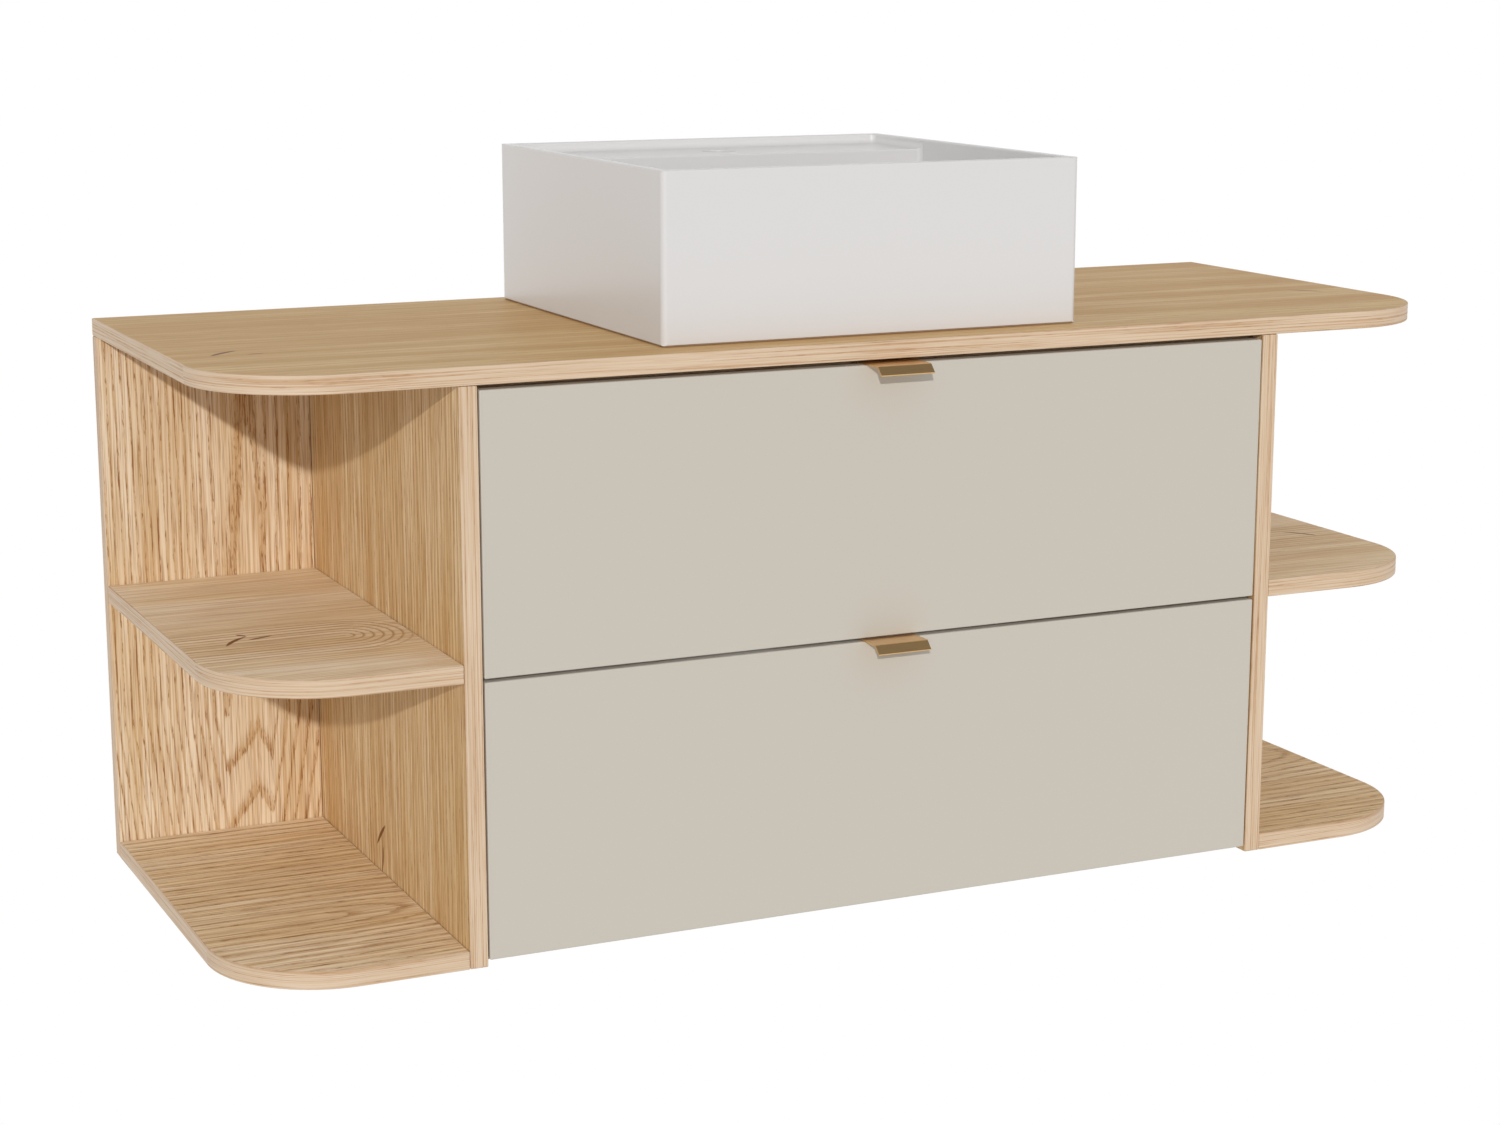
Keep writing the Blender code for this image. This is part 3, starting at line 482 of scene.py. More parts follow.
# The back panels' figure is a W low down. CREST_LINE is one growth line of it, as shares of the width
# and heights in metres, and the others lie a pitch apart. Above BEND the pattern goes on at the rate
# STRETCH, in nearly straight lines.
CREST_LINE = ((0.0, 0.36), (0.24, 0.108), (0.31, 0.133), (0.467, 0.092), (0.54, 0.17), (1.0, 0.95))
BEND = -0.33
STRETCH = 0.12
back_oak = {label: oak_veneer(
    "oak_veneer_back_panel_" + label, 7.0, "#F1E0C6", "#E5CDAA",
    (crests, side * 0.4, side * 0.6, CREST_LINE, BEND, STRETCH),
    pitch=0.059, ragged=0.45, figured=0.55, lines=0.50, pores=0.95) for label, side in SIDES}
# The middle shelves' veneers are paler than the worktop's partly as painted light: the pale colours stand in
# for the stronger light that falls on the shelves.
middle_oak_with_painted_light = {
    "left": oak_veneer(
        "oak_veneer_middle_shelf_left_painted_light", 3.0, "#FCEED6", "#F2DEBC", (arches, (-0.458, -0.302), 1.0),
        pitch=0.0085, ragged=0.3, figured=0.80, lines=0.45, pores=0.45, reach=0.060,
        cracks=(((-0.551, -0.284), 0.86, 0.040, 0.0050, 1.1),
                ((-0.540, -0.266), 2.2, 0.012, 0.0038, 0.0),
                ((-0.527, -0.281), 0.34, 0.027, 0.0038, 0.0))),
    "right": oak_veneer(
        "oak_veneer_middle_shelf_right_painted_light", 3.0, "#F4E0BC", "#E8CEA2", (arches, (0.700, -0.302), 1.0),
        pitch=0.0085, ragged=0.3, figured=0.30, lines=0.45, pores=0.45, reach=0.060,
        cracks=(((0.560, -0.276), -0.95, 0.038, 0.0042, 0.8),)),
}
# The bottom shelves are paled the same way, partly as painted light for the light that falls on them.
bottom_oak_with_painted_light = {label: oak_veneer(
    "oak_veneer_bottom_shelf_" + label, 9.0, light, mid, (arches, heart, 0.28),
    pitch=0.013, ragged=0.5, figured=0.50, lines=0.45, pores=0.95) for label, light, mid, heart in (
        ("left", "#FCEBCE", "#F3DBB4", (-0.50, -0.312)), ("right", "#F2DBB2", "#E6C896", (0.46, -0.215)))}
for label, side in SIDES:
    board("divider_" + label, X_AXIS, divider_oak, oak_band, grain_first=False)
    board("back_panel_" + label, Y_AXIS, back_oak[label], oak_band)
    front_left = FRONT_CORNER if side < 0 else CORNER
    front_right = FRONT_CORNER if side > 0 else CORNER
    corners = (front_left, front_right, CORNER, CORNER)
    board("shelf_mid_" + label, Z_AXIS, middle_oak_with_painted_light[label], oak_band, corners)
    board("shelf_bottom_" + label, Z_AXIS, bottom_oak_with_painted_light[label], oak_band, corners)

# ---- case ---------------------------------------------------------------------------------------
# Between the dividers: a floor, a rail behind the top of the upper front and two rails at the wall.
# The hanging rail is notched at its upper corners, where steel hangers hook on the wall.
plain_oak = oak_veneer(
    "oak_veneer_case", 13.0, "#E0C49C", "#D2AE80", (arches, (1.4, 0.25), 0.03),
    pitch=0.009, ragged=0.9, figured=0.35, lines=0.45, pores=0.5)
board("cabinet_floor", Z_AXIS, plain_oak, oak_band)
board("front_rail", Z_AXIS, plain_oak, oak_band)
board("lower_rear_rail", Y_AXIS, plain_oak, oak_band, grain_first=False)
rail_low, rail_high = limits("hanging_rail")
NOTCH_W = 0.046
NOTCH_LOW = -0.020              # foot of the notches, in height
notched = [(rail_low[2], rail_low[0]), (NOTCH_LOW, rail_low[0]), (NOTCH_LOW, rail_low[0] + NOTCH_W),
           (rail_high[2], rail_low[0] + NOTCH_W), (rail_high[2], rail_high[0] - NOTCH_W),
           (NOTCH_LOW, rail_high[0] - NOTCH_W), (NOTCH_LOW, rail_high[0]), (rail_low[2], rail_high[0])]
plate("hanging_rail", "cabinet", [plain_oak, oak_band], rounded_outline(notched, [CORNER] * 8),
      Y_AXIS, (rail_low[1], rail_high[1]), ARRIS, grain_first=False)


def finished(name, colour, metallic, roughness, cell, mottled, spread, depth, **extra):
    """A solid finish. `cell` is the size in metres of its mottling, which moves the colour by
    `mottled` and the roughness by `spread` either way, in relief of `depth` metres."""
    material, tree = blank(name)
    place = add(tree, "ShaderNodeTexCoord", out=3)
    stretched = add(tree, "ShaderNodeVectorMath", {0: place, 1: tuple(1.0 / c for c in cell)},
                    operation="MULTIPLY")
    mottle = add(tree, "ShaderNodeTexNoise", {"Vector": stretched, "Scale": 1.0, "Detail": 3.0})
    shade = add(tree, "ShaderNodeMapRange", {"Value": mottle, "To Min": 1.0 - mottled,
                                             "To Max": 1.0 + mottled})
    tinted = add(tree, "ShaderNodeVectorMath", {0: linear(colour)[:3], "Scale": shade}, operation="SCALE")
    dull = add(tree, "ShaderNodeMapRange", {"Value": mottle, "To Min": roughness - spread,
                                            "To Max": roughness + spread})
    bump = add(tree, "ShaderNodeBump", {"Strength": 0.5, "Distance": depth, "Height": mottle})
    shader = add(tree, "ShaderNodeBsdfPrincipled", {"Base Color": tinted, "Metallic": metallic,
                                                    "Roughness": dull, "Normal": bump, **extra})
    add(tree, "ShaderNodeOutputMaterial", {"Surface": shader})
    return material


def refinish(node, material):
    """A CAD node that stays as it is, in a better finish."""
    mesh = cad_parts[node].data
    mesh.materials.clear()
    mesh.materials.append(material)


# Rolled steel, zinc plated: a bluish grey metal with soft cloudy patches about 12 mm across.
zinc = finished("zinc_plated_steel", "#B4B6B8", 1.0, 0.34, (0.012, 0.012, 0.012), 0.06, 0.08, 0.00004)
for label in ("left", "right"):
    refinish("hanger_" + label, zinc)

# ---- drawer fronts ------------------------------------------------------------------------------
# Each front is a 16 mm fibreboard panel sprayed with satin lacquer on all sides, edges softened
# before spraying, so the gaps between the fronts show a thin lit line. It is screwed to its box.
FRONT_ARRIS = 0.0012
FRONT_CORNER_R = 0.0015
# Satin lacquer on fibreboard: an even warm grey. An orange peel of 2.5 mm just softens reflections.
lacquer = finished("satin_sprayed_lacquer", "#C5BEB2", 0.0, 0.42, (0.0025, 0.0025, 0.0025), 0.006, 0.02,
                   0.000006, **{"Specular IOR Level": 0.4})
for drawer in ("upper_drawer", "lower_drawer"):
    board(drawer + "_front", Y_AXIS, lacquer, lacquer, (FRONT_CORNER_R,) * 4, arris=FRONT_ARRIS,
          body=drawer)

# ---- handles ------------------------------------------------------------------------------------
# One strip of 1.5 mm brass per front, brushed along its length and bent on a brake: a flange behind
# the front, a flat over its top edge and a lip bent down and out. Two screws hold the flange.
HANDLE_T = 0.0015
BEND_R = 0.0009
LIP = 0.007
FLAT_REACH = 0.023              # how far the flat stands out past the worktop


def strip_outline(path, thickness, bend):
    """The side view of a bent strip: its centre line moved half a thickness to either side, with every
    bend rounded. At a bend the offset runs along the bisector by t / 2 / cos(half the turn). The strip's
    own edges are eased by a fifth of its thickness."""
    path = np.asarray(path, float)
    step = np.diff(path, axis=0)
    step /= np.linalg.norm(step, axis=1)[:, None]
    left = np.stack([-step[:, 1], step[:, 0]], 1)
    before = np.concatenate([left[:1], left])
    after = np.concatenate([left, left[-1:]])
    offset = (before + after) / (1.0 + np.sum(before * after, 1))[:, None] * thickness / 2
    turn = np.concatenate([[0.0], step[:-1, 0] * step[1:, 1] - step[:-1, 1] * step[1:, 0], [0.0]])
    edge = thickness * 0.2
    right_radii = [edge if t == 0.0 else bend + (thickness if t > 0.0 else 0.0) for t in turn]
    left_radii = [edge if t == 0.0 else bend + (thickness if t < 0.0 else 0.0) for t in turn]
    corners = np.concatenate([path - offset, (path + offset)[::-1]])
    return rounded_outline(corners, right_radii + left_radii[::-1])


STRIP_ARRIS = 0.0002
# Brushed brass: warm gold, with reflections drawn out across the fine strokes. The strokes are 0.4 mm
# wide, coarser than real ones, so that they show.
brass = finished("brushed_brass", "#E4BD86", 1.0, 0.30, (0.030, 0.0004, 0.0004), 0.05, 0.06, 0.00002)
for drawer in ("upper_drawer", "lower_drawer"):
    low, high = limits(drawer + "_handle")
    tail = high[1] - HANDLE_T / 2
    top = high[2] - HANDLE_T / 2
    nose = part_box("worktop")[0][1] - FLAT_REACH
    side_view = [(nose - LIP, top - LIP), (nose, top), (tail, top), (tail, low[2])]
    plate(drawer + "_handle", drawer, [brass],
          strip_outline(side_view[::-1], HANDLE_T, BEND_R), X_AXIS, (low[0], high[0]), STRIP_ARRIS)

# ---- drawer boxes -------------------------------------------------------------------------------
# Sides, backs and floors are melamine-faced board in a warm grey. The upper floor is cut out round
# the trap, and a moulded plastic guard lines the cut-out so that nothing falls against the pipes.
# Melamine-faced board: matt warm grey, with the pressed paper's mottling of about a millimetre.
melamine = finished("melamine_faced_board", "#CFCAC1", 0.0, 0.55, (0.0012, 0.0012, 0.0012), 0.04, 0.04,
                    0.00002)
# Moulded grey plastic: a dull mid grey. Its spark-eroded texture is drawn coarse, so that it shows.
guard_plastic = finished("moulded_grey_plastic", "#7B7B7A", 0.0, 0.50, (0.0009, 0.0009, 0.0009), 0.05, 0.05,
                         0.00003)
CUTOUT_HALF = 0.100             # half the cut-out's width
CUTOUT_FRONT = -0.325
CUTOUT_R = 0.050
BOX_ARRIS = 0.0005
box_boards = (("upper_drawer", "side_left", X_AXIS), ("upper_drawer", "side_right", X_AXIS),
              ("lower_drawer", "side_left", X_AXIS), ("lower_drawer", "side_right", X_AXIS),
              ("upper_drawer", "back_left", Y_AXIS), ("upper_drawer", "back_right", Y_AXIS),
              ("lower_drawer", "back", Y_AXIS), ("lower_drawer", "bottom", Z_AXIS))
for drawer, name, axis in box_boards:
    board(f"{drawer}_{name}", axis, melamine, melamine, arris=BOX_ARRIS, body=drawer)
low, high = limits("upper_drawer_bottom")
cut_floor = [(low[0], low[1]), (high[0], low[1]), (high[0], high[1]), (CUTOUT_HALF, high[1]),
             (CUTOUT_HALF, CUTOUT_FRONT), (-CUTOUT_HALF, CUTOUT_FRONT), (-CUTOUT_HALF, high[1]),
             (low[0], high[1])]
plate("upper_drawer_bottom", "upper_drawer", [melamine],
      rounded_outline(cut_floor, [CORNER] * 4 + [CUTOUT_R] * 2 + [CORNER] * 2), Z_AXIS,
      (low[2], high[2]), BOX_ARRIS)
low, high = limits("siphon_guard")
GUARD_T = 0.003
GUARD_ARRIS = 0.0006
inner = high[0] - GUARD_T / 2
front = low[1] + GUARD_T / 2
guard_path = [(-inner, high[1]), (-inner, front), (inner, front), (inner, high[1])]
plate("siphon_guard", "upper_drawer", [guard_plastic],
      strip_outline(guard_path, GUARD_T, CUTOUT_R - GUARD_T / 2), Z_AXIS, (low[2], high[2]), GUARD_ARRIS)

# ---- runners ------------------------------------------------------------------------------------
# Three-part ball runners, rolled from 1.2 mm zinc-plated strip: the outer channel is screwed to the
# divider, the middle one rides in it on balls, and the inner one is screwed to the drawer's side.
RUNNER_T = 0.0012
ROLL_R = 0.0008
for drawer in ("upper", "lower"):
    for label, side in SIDES:
        riders = {"cabinet": "cabinet", "middle": f"{drawer}_runner_{label}", "drawer": f"{drawer}_drawer"}
        for member, body in riders.items():
            node = f"{drawer}_runner_{member}_{label}"
            low, high = limits(node)
            half_t = RUNNER_T / 2
            opens = side * (1 if member == "drawer" else -1)
            web, lip = (low[0] + half_t, high[0]) if opens > 0 else (high[0] - half_t, low[0])
            section = [(high[2] - half_t, lip), (high[2] - half_t, web), (low[2] + half_t, web),
                       (low[2] + half_t, lip)]
            section = section if opens < 0 else section[::-1]
            plate(node, body, [zinc], strip_outline(section, RUNNER_T, ROLL_R), Y_AXIS,
                  (low[1], high[1]), STRIP_ARRIS)

# ---- basin --------------------------------------------------------------------------------------
# Slip-cast vitreous china with a satin white glaze: thin straight walls, a tap deck a little below
# the rim at the back, a bowl with rounded corners that falls to the waste, and a hollow underside.
DECK_DROP = 0.009
DECK_T = 0.010
RIM_R = 0.0014
FOOT_R = 0.0008
FILLET_R = 0.0055
BOWL_FLOOR = 0.030              # floor of the bowl above the worktop, at its walls
BOWL_LOW = 0.025                # and at the waste
BOWL_UNDER = 0.011
DISH_R = 0.125
DISH_FLAT_R = 0.036
WASTE_R = 0.0225
WASTE_EASE = 0.001              # softened edge of the waste hole
TAP_R = 0.0175
TAP_EASE = 0.0012
HOLE_STEPS = 96


def ring_of(bm, centre, radius, level, steps):
    """Vertices round a circle at one height, anticlockwise from above."""
    angles = np.linspace(0.0, 2.0 * math.pi, steps, endpoint=False)
    return [bm.verts.new((centre[0] + radius * math.cos(a), centre[1] + radius * math.sin(a), level))
            for a in angles]


def wall_between(bm, upper, lower):
    """A band of faces between two rings of equal count, which faces the axis."""
    for k in range(len(upper)):
        n = (k + 1) % len(upper)
        bm.faces.new((upper[k], upper[n], lower[n], lower[k]))


def pierce(bm, face, ring, upwards):
    """Replaces a flat face by triangles that run from its outline to a ring inside it."""
    outline = list(face.verts)
    loops = [[Vector((v.co.x, v.co.y, 0.0)) for v in loop] for loop in (outline, ring)]
    verts = outline + ring
    bm.faces.remove(face)
    for triple in tessellate_polygon(loops):
        a, b, c = (verts[k] for k in triple)
        area = (b.co.x - a.co.x) * (c.co.y - a.co.y) - (b.co.y - a.co.y) * (c.co.x - a.co.x)
        if abs(area) > 1e-12:
            bm.faces.new((a, b, c) if (area > 0.0) == upwards else (c, b, a))


def make_basin():
    """The basin's flat faces meet in sharp edges first. The inner edges are then rounded by one radius,
    the outer uprights and the rim by smaller ones, and the floor and deck are pierced last."""
    x0, y0, z0 = basin_low
    x3, y4, z3 = basin_high
    x1, x2, y1, y3 = x0 + BASIN_WALL, x3 - BASIN_WALL, y0 + BASIN_WALL, y4 - BASIN_WALL
    y2 = DECK_FRONT
    y_back = y2 + BASIN_WALL
    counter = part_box("worktop")[1][2]
    deck_z = z3 - DECK_DROP
    bed_z = counter + BOWL_FLOOR
    waste_z = counter + BOWL_LOW
    under_z = counter + BOWL_UNDER
    hollow_z = deck_z - DECK_T
    places = {
        "base": [(x0, y0, z0), (x3, y0, z0), (x3, y4, z0), (x0, y4, z0)],
        "rim": [(x0, y0, z3), (x3, y0, z3), (x3, y4, z3), (x0, y4, z3)],
        "lip": [(x1, y1, z3), (x2, y1, z3), (x2, y3, z3), (x1, y3, z3)],
        "deck": [(x1, y2, deck_z), (x2, y2, deck_z), (x2, y3, deck_z), (x1, y3, deck_z)],
        "bed": [(x1, y1, bed_z), (x2, y1, bed_z), (x2, y2, bed_z), (x1, y2, bed_z)],
        "foot": [(x1, y1, z0), (x2, y1, z0), (x2, y3, z0), (x1, y3, z0)],
        "under": [(x1, y1, under_z), (x2, y1, under_z), (x2, y_back, under_z), (x1, y_back, under_z)],
        "hollow": [(x1, y_back, hollow_z), (x2, y_back, hollow_z), (x2, y3, hollow_z), (x1, y3, hollow_z)],
    }
    bm = bmesh.new()
    base, rim, lip, deck, bed, foot, under, hollow = (
        [bm.verts.new(place) for place in corners] for corners in places.values())
    for k in range(4):
        n = (k + 1) % 4
        bm.faces.new((base[k], base[n], rim[n], rim[k]))
        bm.faces.new((rim[k], rim[n], lip[n], lip[k]))
        bm.faces.new((base[n], base[k], foot[k], foot[n]))
    bowl = {bm.faces.new(face) for face in (
        (lip[1], bed[1], bed[0], lip[0]),
        (lip[2], deck[2], deck[1], bed[2], bed[1], lip[1]),
        (lip[3], deck[3], deck[2], lip[2]),
        (lip[0], bed[0], bed[3], deck[0], deck[3], lip[3]),
        (deck[1], deck[0], bed[3], bed[2]),
        (deck[0], deck[1], deck[2], deck[3]),
        (bed[0], bed[1], bed[2], bed[3]))}
    for face in ((foot[0], foot[1], under[1], under[0]),
                 (foot[1], foot[2], hollow[2], hollow[1], under[2], under[1]),
                 (foot[2], foot[3], hollow[3], hollow[2]),
                 (foot[3], foot[0], under[0], under[3], hollow[0], hollow[3]),
                 (under[3], under[2], hollow[1], hollow[0])):
        bm.faces.new(face[::-1])
    bm.faces.new((under[3], under[2], under[1], under[0]))
    bm.faces.new((hollow[3], hollow[2], hollow[1], hollow[0]))
    bmesh.ops.recalc_face_normals(bm, faces=bm.faces)

    bm.normal_update()
    weight = bm.edges.layers.float.new("bevel_weight_edge")
    for edge in bm.edges:
        ends = set(edge.verts)
        upright = ends & set(base) and ends & set(rim)
        if ends == {deck[0], deck[1]} or ends <= set(rim) or ends <= set(lip):
            edge[weight] = RIM_R / FILLET_R
        elif upright or all(face in bowl for face in edge.link_faces):
            edge[weight] = 1.0
        elif ends <= set(base):
            edge[weight] = FOOT_R / FILLET_R
    mesh = bpy.data.meshes.new("basin_cage")
    bm.to_mesh(mesh)
    bm.free()
    cage = bpy.data.objects.new("basin_cage", mesh)
    bpy.context.scene.collection.objects.link(cage)
    rounding = cage.modifiers.new("rounded_edges", "BEVEL")
    rounding.limit_method = "WEIGHT"
    rounding.width = FILLET_R
    rounding.segments = 5
    rounding.use_clamp_overlap = False
    bm = bmesh.new()
    bm.from_mesh(cage.evaluated_get(bpy.context.evaluated_depsgraph_get()).to_mesh())
    bpy.data.objects.remove(cage)
    bm.normal_update()

    def level_face(level, up):
        """The largest flat face at a height, of those that look up (1) or down (-1)."""
        flat = [f for f in bm.faces if f.normal.z * up > 0.99
                and abs(f.calc_center_median().z - level) < 1e-5]
        return max(flat, key=lambda f: f.calc_area())

    waste_rings = ((DISH_R, bed_z), (DISH_FLAT_R, waste_z), (WASTE_R + WASTE_EASE, waste_z),
                   (WASTE_R, waste_z - WASTE_EASE), (WASTE_R, under_z))
    tap_rings = ((TAP_R + TAP_EASE, deck_z), (TAP_R + TAP_EASE / 3, deck_z - TAP_EASE / 3),
                 (TAP_R, deck_z - TAP_EASE), (TAP_R, hollow_z))
    for centre, profile in ((waste_centre, waste_rings), (tap_centre, tap_rings)):
        rings = [ring_of(bm, centre, radius, z, HOLE_STEPS) for radius, z in profile]
        pierce(bm, level_face(profile[0][1], 1), rings[0], True)
        for upper, lower in zip(rings, rings[1:]):
            wall_between(bm, upper, lower)
        pierce(bm, level_face(profile[-1][1], -1), rings[-1], False)
    bmesh.ops.recalc_face_normals(bm, faces=bm.faces)
    mesh = bpy.data.meshes.new("basin_glazed")
    bm.to_mesh(mesh)
    bm.free()
    mesh.shade_smooth()
    mesh.set_sharp_from_angle(angle=math.radians(50))
    piece = bpy.data.objects.new("basin_glazed", mesh)
    bpy.context.scene.collection.objects.link(piece)
    weighted = piece.modifiers.new("flat_faces_stay_flat", "WEIGHTED_NORMAL")
    weighted.keep_sharp = True
    return piece


# Vitreous china, satin glazed: a white that reflects softly, with the faint unevenness of casting.
china = finished("satin_glazed_vitreous_china", "#D9D7D6", 0.0, 0.34, (0.030, 0.030, 0.030), 0.004, 0.03,
                 0.00003, **{"Specular IOR Level": 0.5, "Coat Weight": 0.2, "Coat Roughness": 0.15})
basin = make_basin()
basin.data.materials.append(china)
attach(basin, "cabinet")
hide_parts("basin")

# Sanitary silicone: a thin half-glossy bead under the basin, in a brown darker than the oak. The brown is
# partly the bead's own tint and partly painted shade, standing in for the shadow line at the basin's foot.
silicone_and_painted_shadow = finished("sanitary_silicone_with_painted_shadow", "#A9886A", 0.0, 0.45, (0.006, 0.006, 0.006), 0.05, 0.05, 0.00003)
low, high = limits("basin_seal")
SEAL_W = 0.005
SEAL_R = 0.0035
SEAL_ARRIS = 0.0003
bead = [(low[0], low[1]), (high[0], low[1]), (high[0], high[1]), (low[0], high[1])]
inner_bead = [(low[0] + SEAL_W, low[1] + SEAL_W), (high[0] - SEAL_W, low[1] + SEAL_W),
              (high[0] - SEAL_W, high[1] - SEAL_W), (low[0] + SEAL_W, high[1] - SEAL_W)]
hole_points, hole_normals = rounded_outline(inner_bead, [CORNER] * 4)
plate("basin_seal", "cabinet", [silicone_and_painted_shadow], rounded_outline(bead, [SEAL_R] * 4), Z_AXIS,
      (low[2], high[2]), SEAL_ARRIS, holes=((hole_points[::-1], -hole_normals[::-1]),))

# ---- waste and trap -----------------------------------------------------------------------------
# A push-open waste in chromed brass clamps the basin to the worktop from below. Under it hangs a
# bottle trap in white polypropylene, and a chromed pipe runs to the wall through a rosette.
# Chromed brass: a near mirror, with the faint waves that polishing leaves.
chrome = finished("chromed_brass", "#D9DADC", 1.0, 0.08, (0.02, 0.02, 0.02), 0.02, 0.02, 0.00001)
# Moulded polypropylene: a half-matt white. Its texture is drawn coarse, so that it shows.
white_plastic = finished("moulded_white_polypropylene", "#E4E4E2", 0.0, 0.38, (0.0015, 0.0015, 0.0015),
                         0.02, 0.05, 0.00003)
# Sheet rubber: dull black.
rubber = finished("black_sheet_rubber", "#2B2B2B", 0.0, 0.75, (0.002, 0.002, 0.002), 0.08, 0.05, 0.00005)


def turned(node, body, material, profile, centre, axis=Z_AXIS, ribs=0, rib_depth=0.0, steps=96):
    """A turned piece: a profile of (radius, place along the axis), carried once round the axis.

    The profile runs down the outer side. Ribs press the radius in by rib_depth times the squared
    cosine of half the rib angle, on profile points marked with a third value of 1.
    """
    profile = np.array([(*p, 0.0)[:3] for p in profile], float)
    angles = np.linspace(0.0, 2.0 * math.pi, steps, endpoint=False)
    press = rib_depth * np.cos(angles * ribs / 2.0) ** 2
    radius = profile[None, :, 0] - press[:, None] * profile[None, :, 2]
    grid = np.zeros((steps, len(profile), 3))
    first, second = (axis + 1) % 3, (axis + 2) % 3
    grid[..., first] = radius * np.cos(angles)[:, None] + centre[first]
    grid[..., second] = radius * np.sin(angles)[:, None] + centre[second]
    grid[..., axis] = profile[None, :, 1]
    closed = profile[0, 0] > 0.0
    count = len(profile)
    i, j = (a.ravel() for a in np.meshgrid(np.arange(steps), np.arange(count if closed else count - 1),
                                           indexing="ij"))
    after, below = (i + 1) % steps, (j + 1) % count
    quads = np.stack([i * count + j, i * count + below, after * count + below, after * count + j], 1)
    piece = make_object(node + "_finished", grid.reshape(-1, 3).tolist(), quads.tolist(), [material],
                        body, [node])
    merge = bmesh.new()
    merge.from_mesh(piece.data)
    bmesh.ops.remove_doubles(merge, verts=merge.verts, dist=1e-6)
    merge.to_mesh(piece.data)
    merge.free()
    piece.data.shade_smooth()
    piece.data.set_sharp_from_angle(angle=math.radians(35))
    return piece


low, high = limits("waste_plug")
EASE = 0.001                    # softened edge of a turned or moulded part
STEM_R = 0.003
DOME_H = 0.0043
DOME_END = 1.45                 # the dome's arc stops just short of a right angle
CAP_SKIRT = 0.0012
CAP_EASE = 0.0006
plug_r = (high[0] - low[0]) / 2
cap = high[2] - DOME_H - CAP_SKIRT
dome = [(plug_r * math.sin(a), cap + CAP_SKIRT + DOME_H * math.cos(a))
        for a in np.linspace(0.0, DOME_END, 14)]
skirt = [(plug_r, cap + CAP_SKIRT), (plug_r - CAP_EASE / 3, cap + CAP_EASE / 1.5), (plug_r - CAP_EASE, cap)]
plug_profile = dome + skirt + [(STEM_R, cap), (STEM_R, low[2]), (0.0, low[2])]
turned("waste_plug", "waste_plug", chrome, plug_profile, waste_centre)
refinish("waste_body", chrome)
refinish("waste_nut", zinc)
refinish("waste_gasket", rubber)
refinish("trap_body", white_plastic)

PIPE_BORE = 0.0145
COLLAR_R = 0.020
INLET_R = 0.016
low, high = limits("trap_inlet")
turned("trap_inlet", "cabinet", white_plastic,
       [(COLLAR_R, high[2]), (COLLAR_R, high[2] - 2 * EASE), (INLET_R, high[2] - 4 * EASE),
        (INLET_R, low[2] + EASE / 2), (INLET_R - EASE / 2, low[2]), (PIPE_BORE, low[2]),
        (PIPE_BORE, high[2])], waste_centre)

CUP_FLOOR = 0.0025
CUP_WALL = 0.0055
CUP_SLOPE = 0.014               # reach of the sloping corner inside, in and up
CUP_GRIP_H = 0.016              # height of the ribbed grip round the cup's top
CUP_STEP = 0.003                # the cup is this much narrower below the grip
CUP_CURVE_H = 0.012
CUP_CURVE_W = 0.009
low, high = limits("trap_cup")
cup_r = (high[0] - low[0]) / 2
base = [(cup_r - CUP_STEP - CUP_CURVE_W * (1.0 - math.cos(a)), low[2] + CUP_CURVE_H * (1.0 - math.sin(a)))
        for a in np.linspace(0.0, math.pi / 2, 8)]
turned("trap_cup", "cabinet", white_plastic,
       [(0.0, low[2] + CUP_FLOOR), (cup_r - CUP_SLOPE, low[2] + CUP_FLOOR),
        (cup_r - CUP_WALL, low[2] + CUP_SLOPE), (cup_r - CUP_WALL, high[2]), (cup_r - EASE, high[2]),
        (cup_r, high[2] - EASE, 1.0), (cup_r, high[2] - CUP_GRIP_H, 1.0),
        (cup_r - CUP_STEP, high[2] - CUP_GRIP_H - 2 * EASE)]
       + base + [(0.0, low[2])],
       waste_centre, ribs=36, rib_depth=0.0010, steps=288)

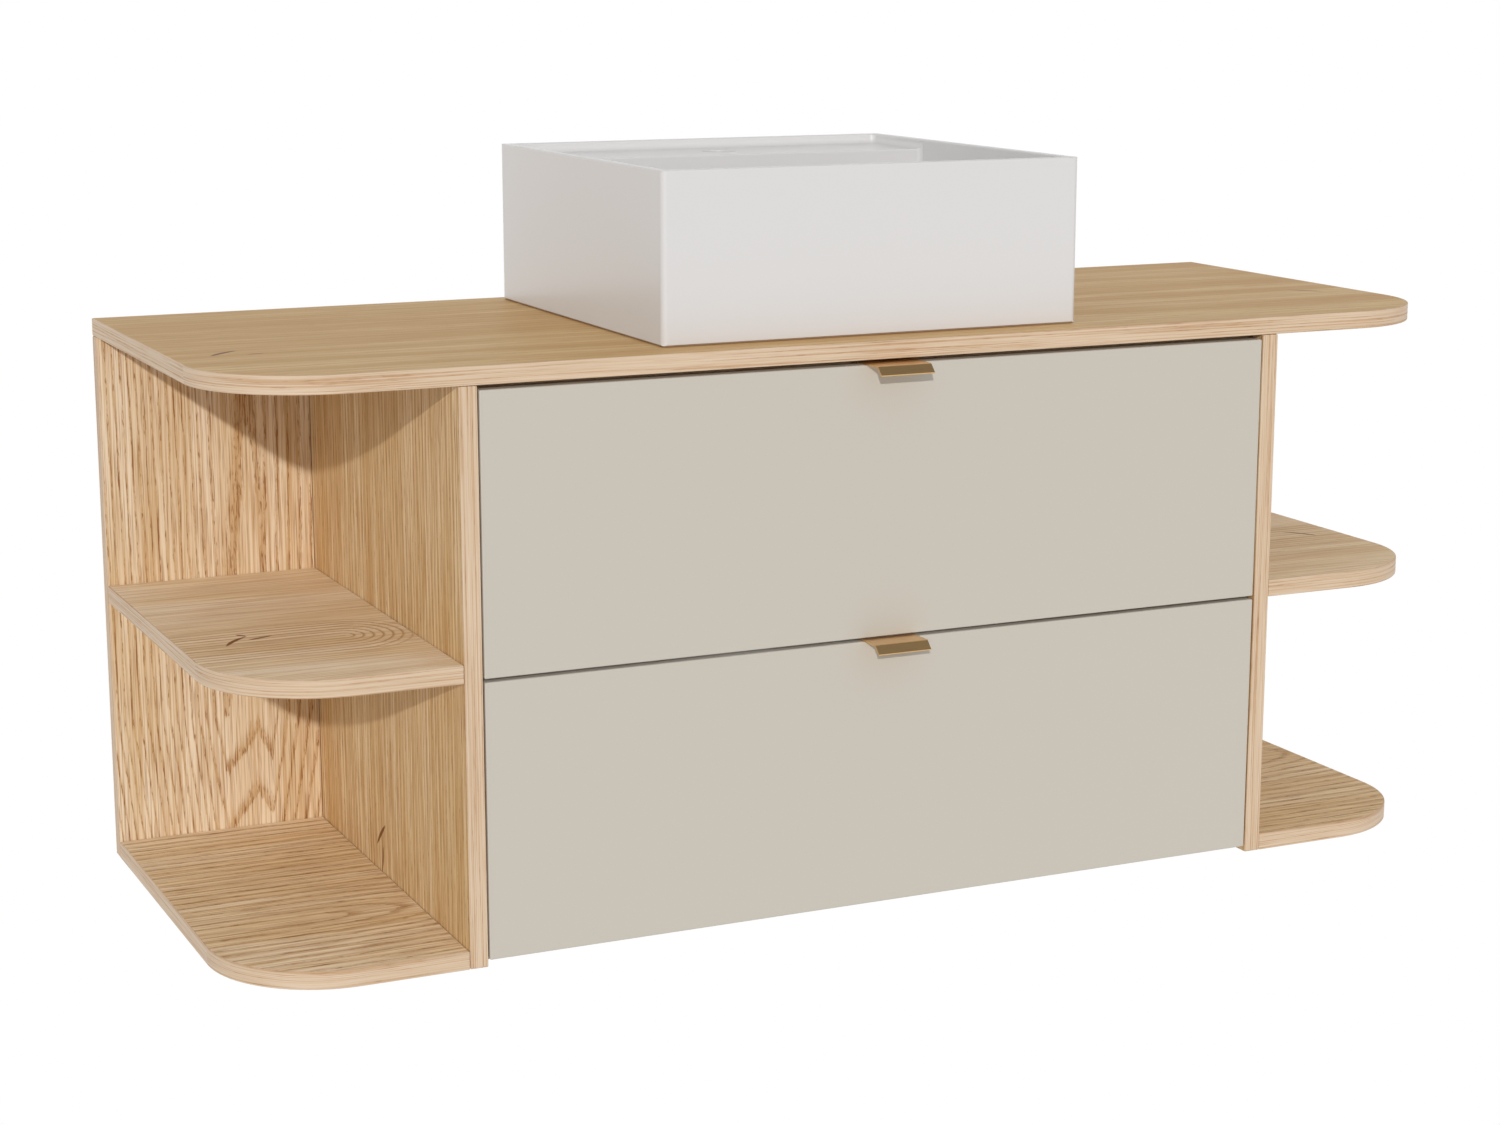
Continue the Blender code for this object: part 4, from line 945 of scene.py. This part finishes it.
NUT_BORE = 0.0163
NUT_RIB = 0.0012
for node, axis in (("trap_neck_nut", Z_AXIS), ("trap_outlet_nut", Y_AXIS)):
    low, high = limits(node)
    outer = (high[0] - low[0]) / 2
    turned(node, "cabinet", white_plastic,
           [(outer - EASE, high[axis]), (outer, high[axis] - EASE, 1.0), (outer, low[axis] + EASE, 1.0),
            (outer - EASE, low[axis]), (NUT_BORE, low[axis]), (NUT_BORE, high[axis])],
           (low + high) / 2, axis, ribs=24, rib_depth=NUT_RIB, steps=192)
COLLAR_BORE = 0.0208            # the top nut widens over the inlet's collar, between two heights
COLLAR_FOOT = 0.0035
COLLAR_SEAT = 0.0055
low, high = limits("trap_top_nut")
outer = (high[0] - low[0]) / 2
turned("trap_top_nut", "cabinet", white_plastic,
       [(outer - 2 * EASE, high[2]), (outer - EASE, high[2] - EASE, 1.0), (outer, low[2] + EASE, 1.0),
        (outer - EASE, low[2]), (NUT_BORE, low[2]), (NUT_BORE, low[2] + COLLAR_FOOT),
        (COLLAR_BORE, low[2] + COLLAR_SEAT), (COLLAR_BORE, high[2])],
       waste_centre, ribs=28, rib_depth=NUT_RIB, steps=224)
low, high = limits("trap_outlet")
pipe_centre = (low + high) / 2
pipe_r = (high[0] - low[0]) / 2
turned("trap_outlet", "cabinet", chrome,
       [(pipe_r, high[1]), (pipe_r, low[1] + EASE / 2), (pipe_r - EASE / 2, low[1]),
        (PIPE_BORE, low[1]), (PIPE_BORE, high[1])], pipe_centre, Y_AXIS)
FLARE_R = 0.018                 # where the rosette's flare starts
FLARE_H = 0.0082
low, high = limits("wall_rosette")
rosette_r = (high[0] - low[0]) / 2
flare = [(FLARE_R + (rosette_r - FLARE_R) * (1.0 - math.cos(a)), low[1] + FLARE_H * math.sin(a))
         for a in np.linspace(math.pi / 2, 0.0, 12)]
turned("wall_rosette", "cabinet", chrome,
       [(rosette_r, high[1])] + flare + [(NUT_BORE, low[1]), (NUT_BORE, high[1])], pipe_centre, Y_AXIS)

# ---- handle screws ------------------------------------------------------------------------------
# Two small round-headed screws hold each handle's flange to the back of its front. They are turned
# pieces of zinc-plated steel, and their heads point into the drawer.
SCREW_R = 0.0015
HEAD_H = 0.0018
for drawer in ("upper_drawer", "lower_drawer"):
    for label in ("left", "right"):
        node = f"{drawer}_handle_screw_{label}"
        low, high = limits(node)
        head_r = (high[0] - low[0]) / 2
        head = [(head_r * math.sin(a), high[1] - HEAD_H + HEAD_H * math.cos(a))
                for a in np.linspace(0.0, math.pi / 2, 8)]
        shank = [(SCREW_R, high[1] - HEAD_H), (SCREW_R, low[1] + EASE), (0.0, low[1])]
        turned(node, drawer, zinc, head + shank, (low + high) / 2, Y_AXIS, steps=32)
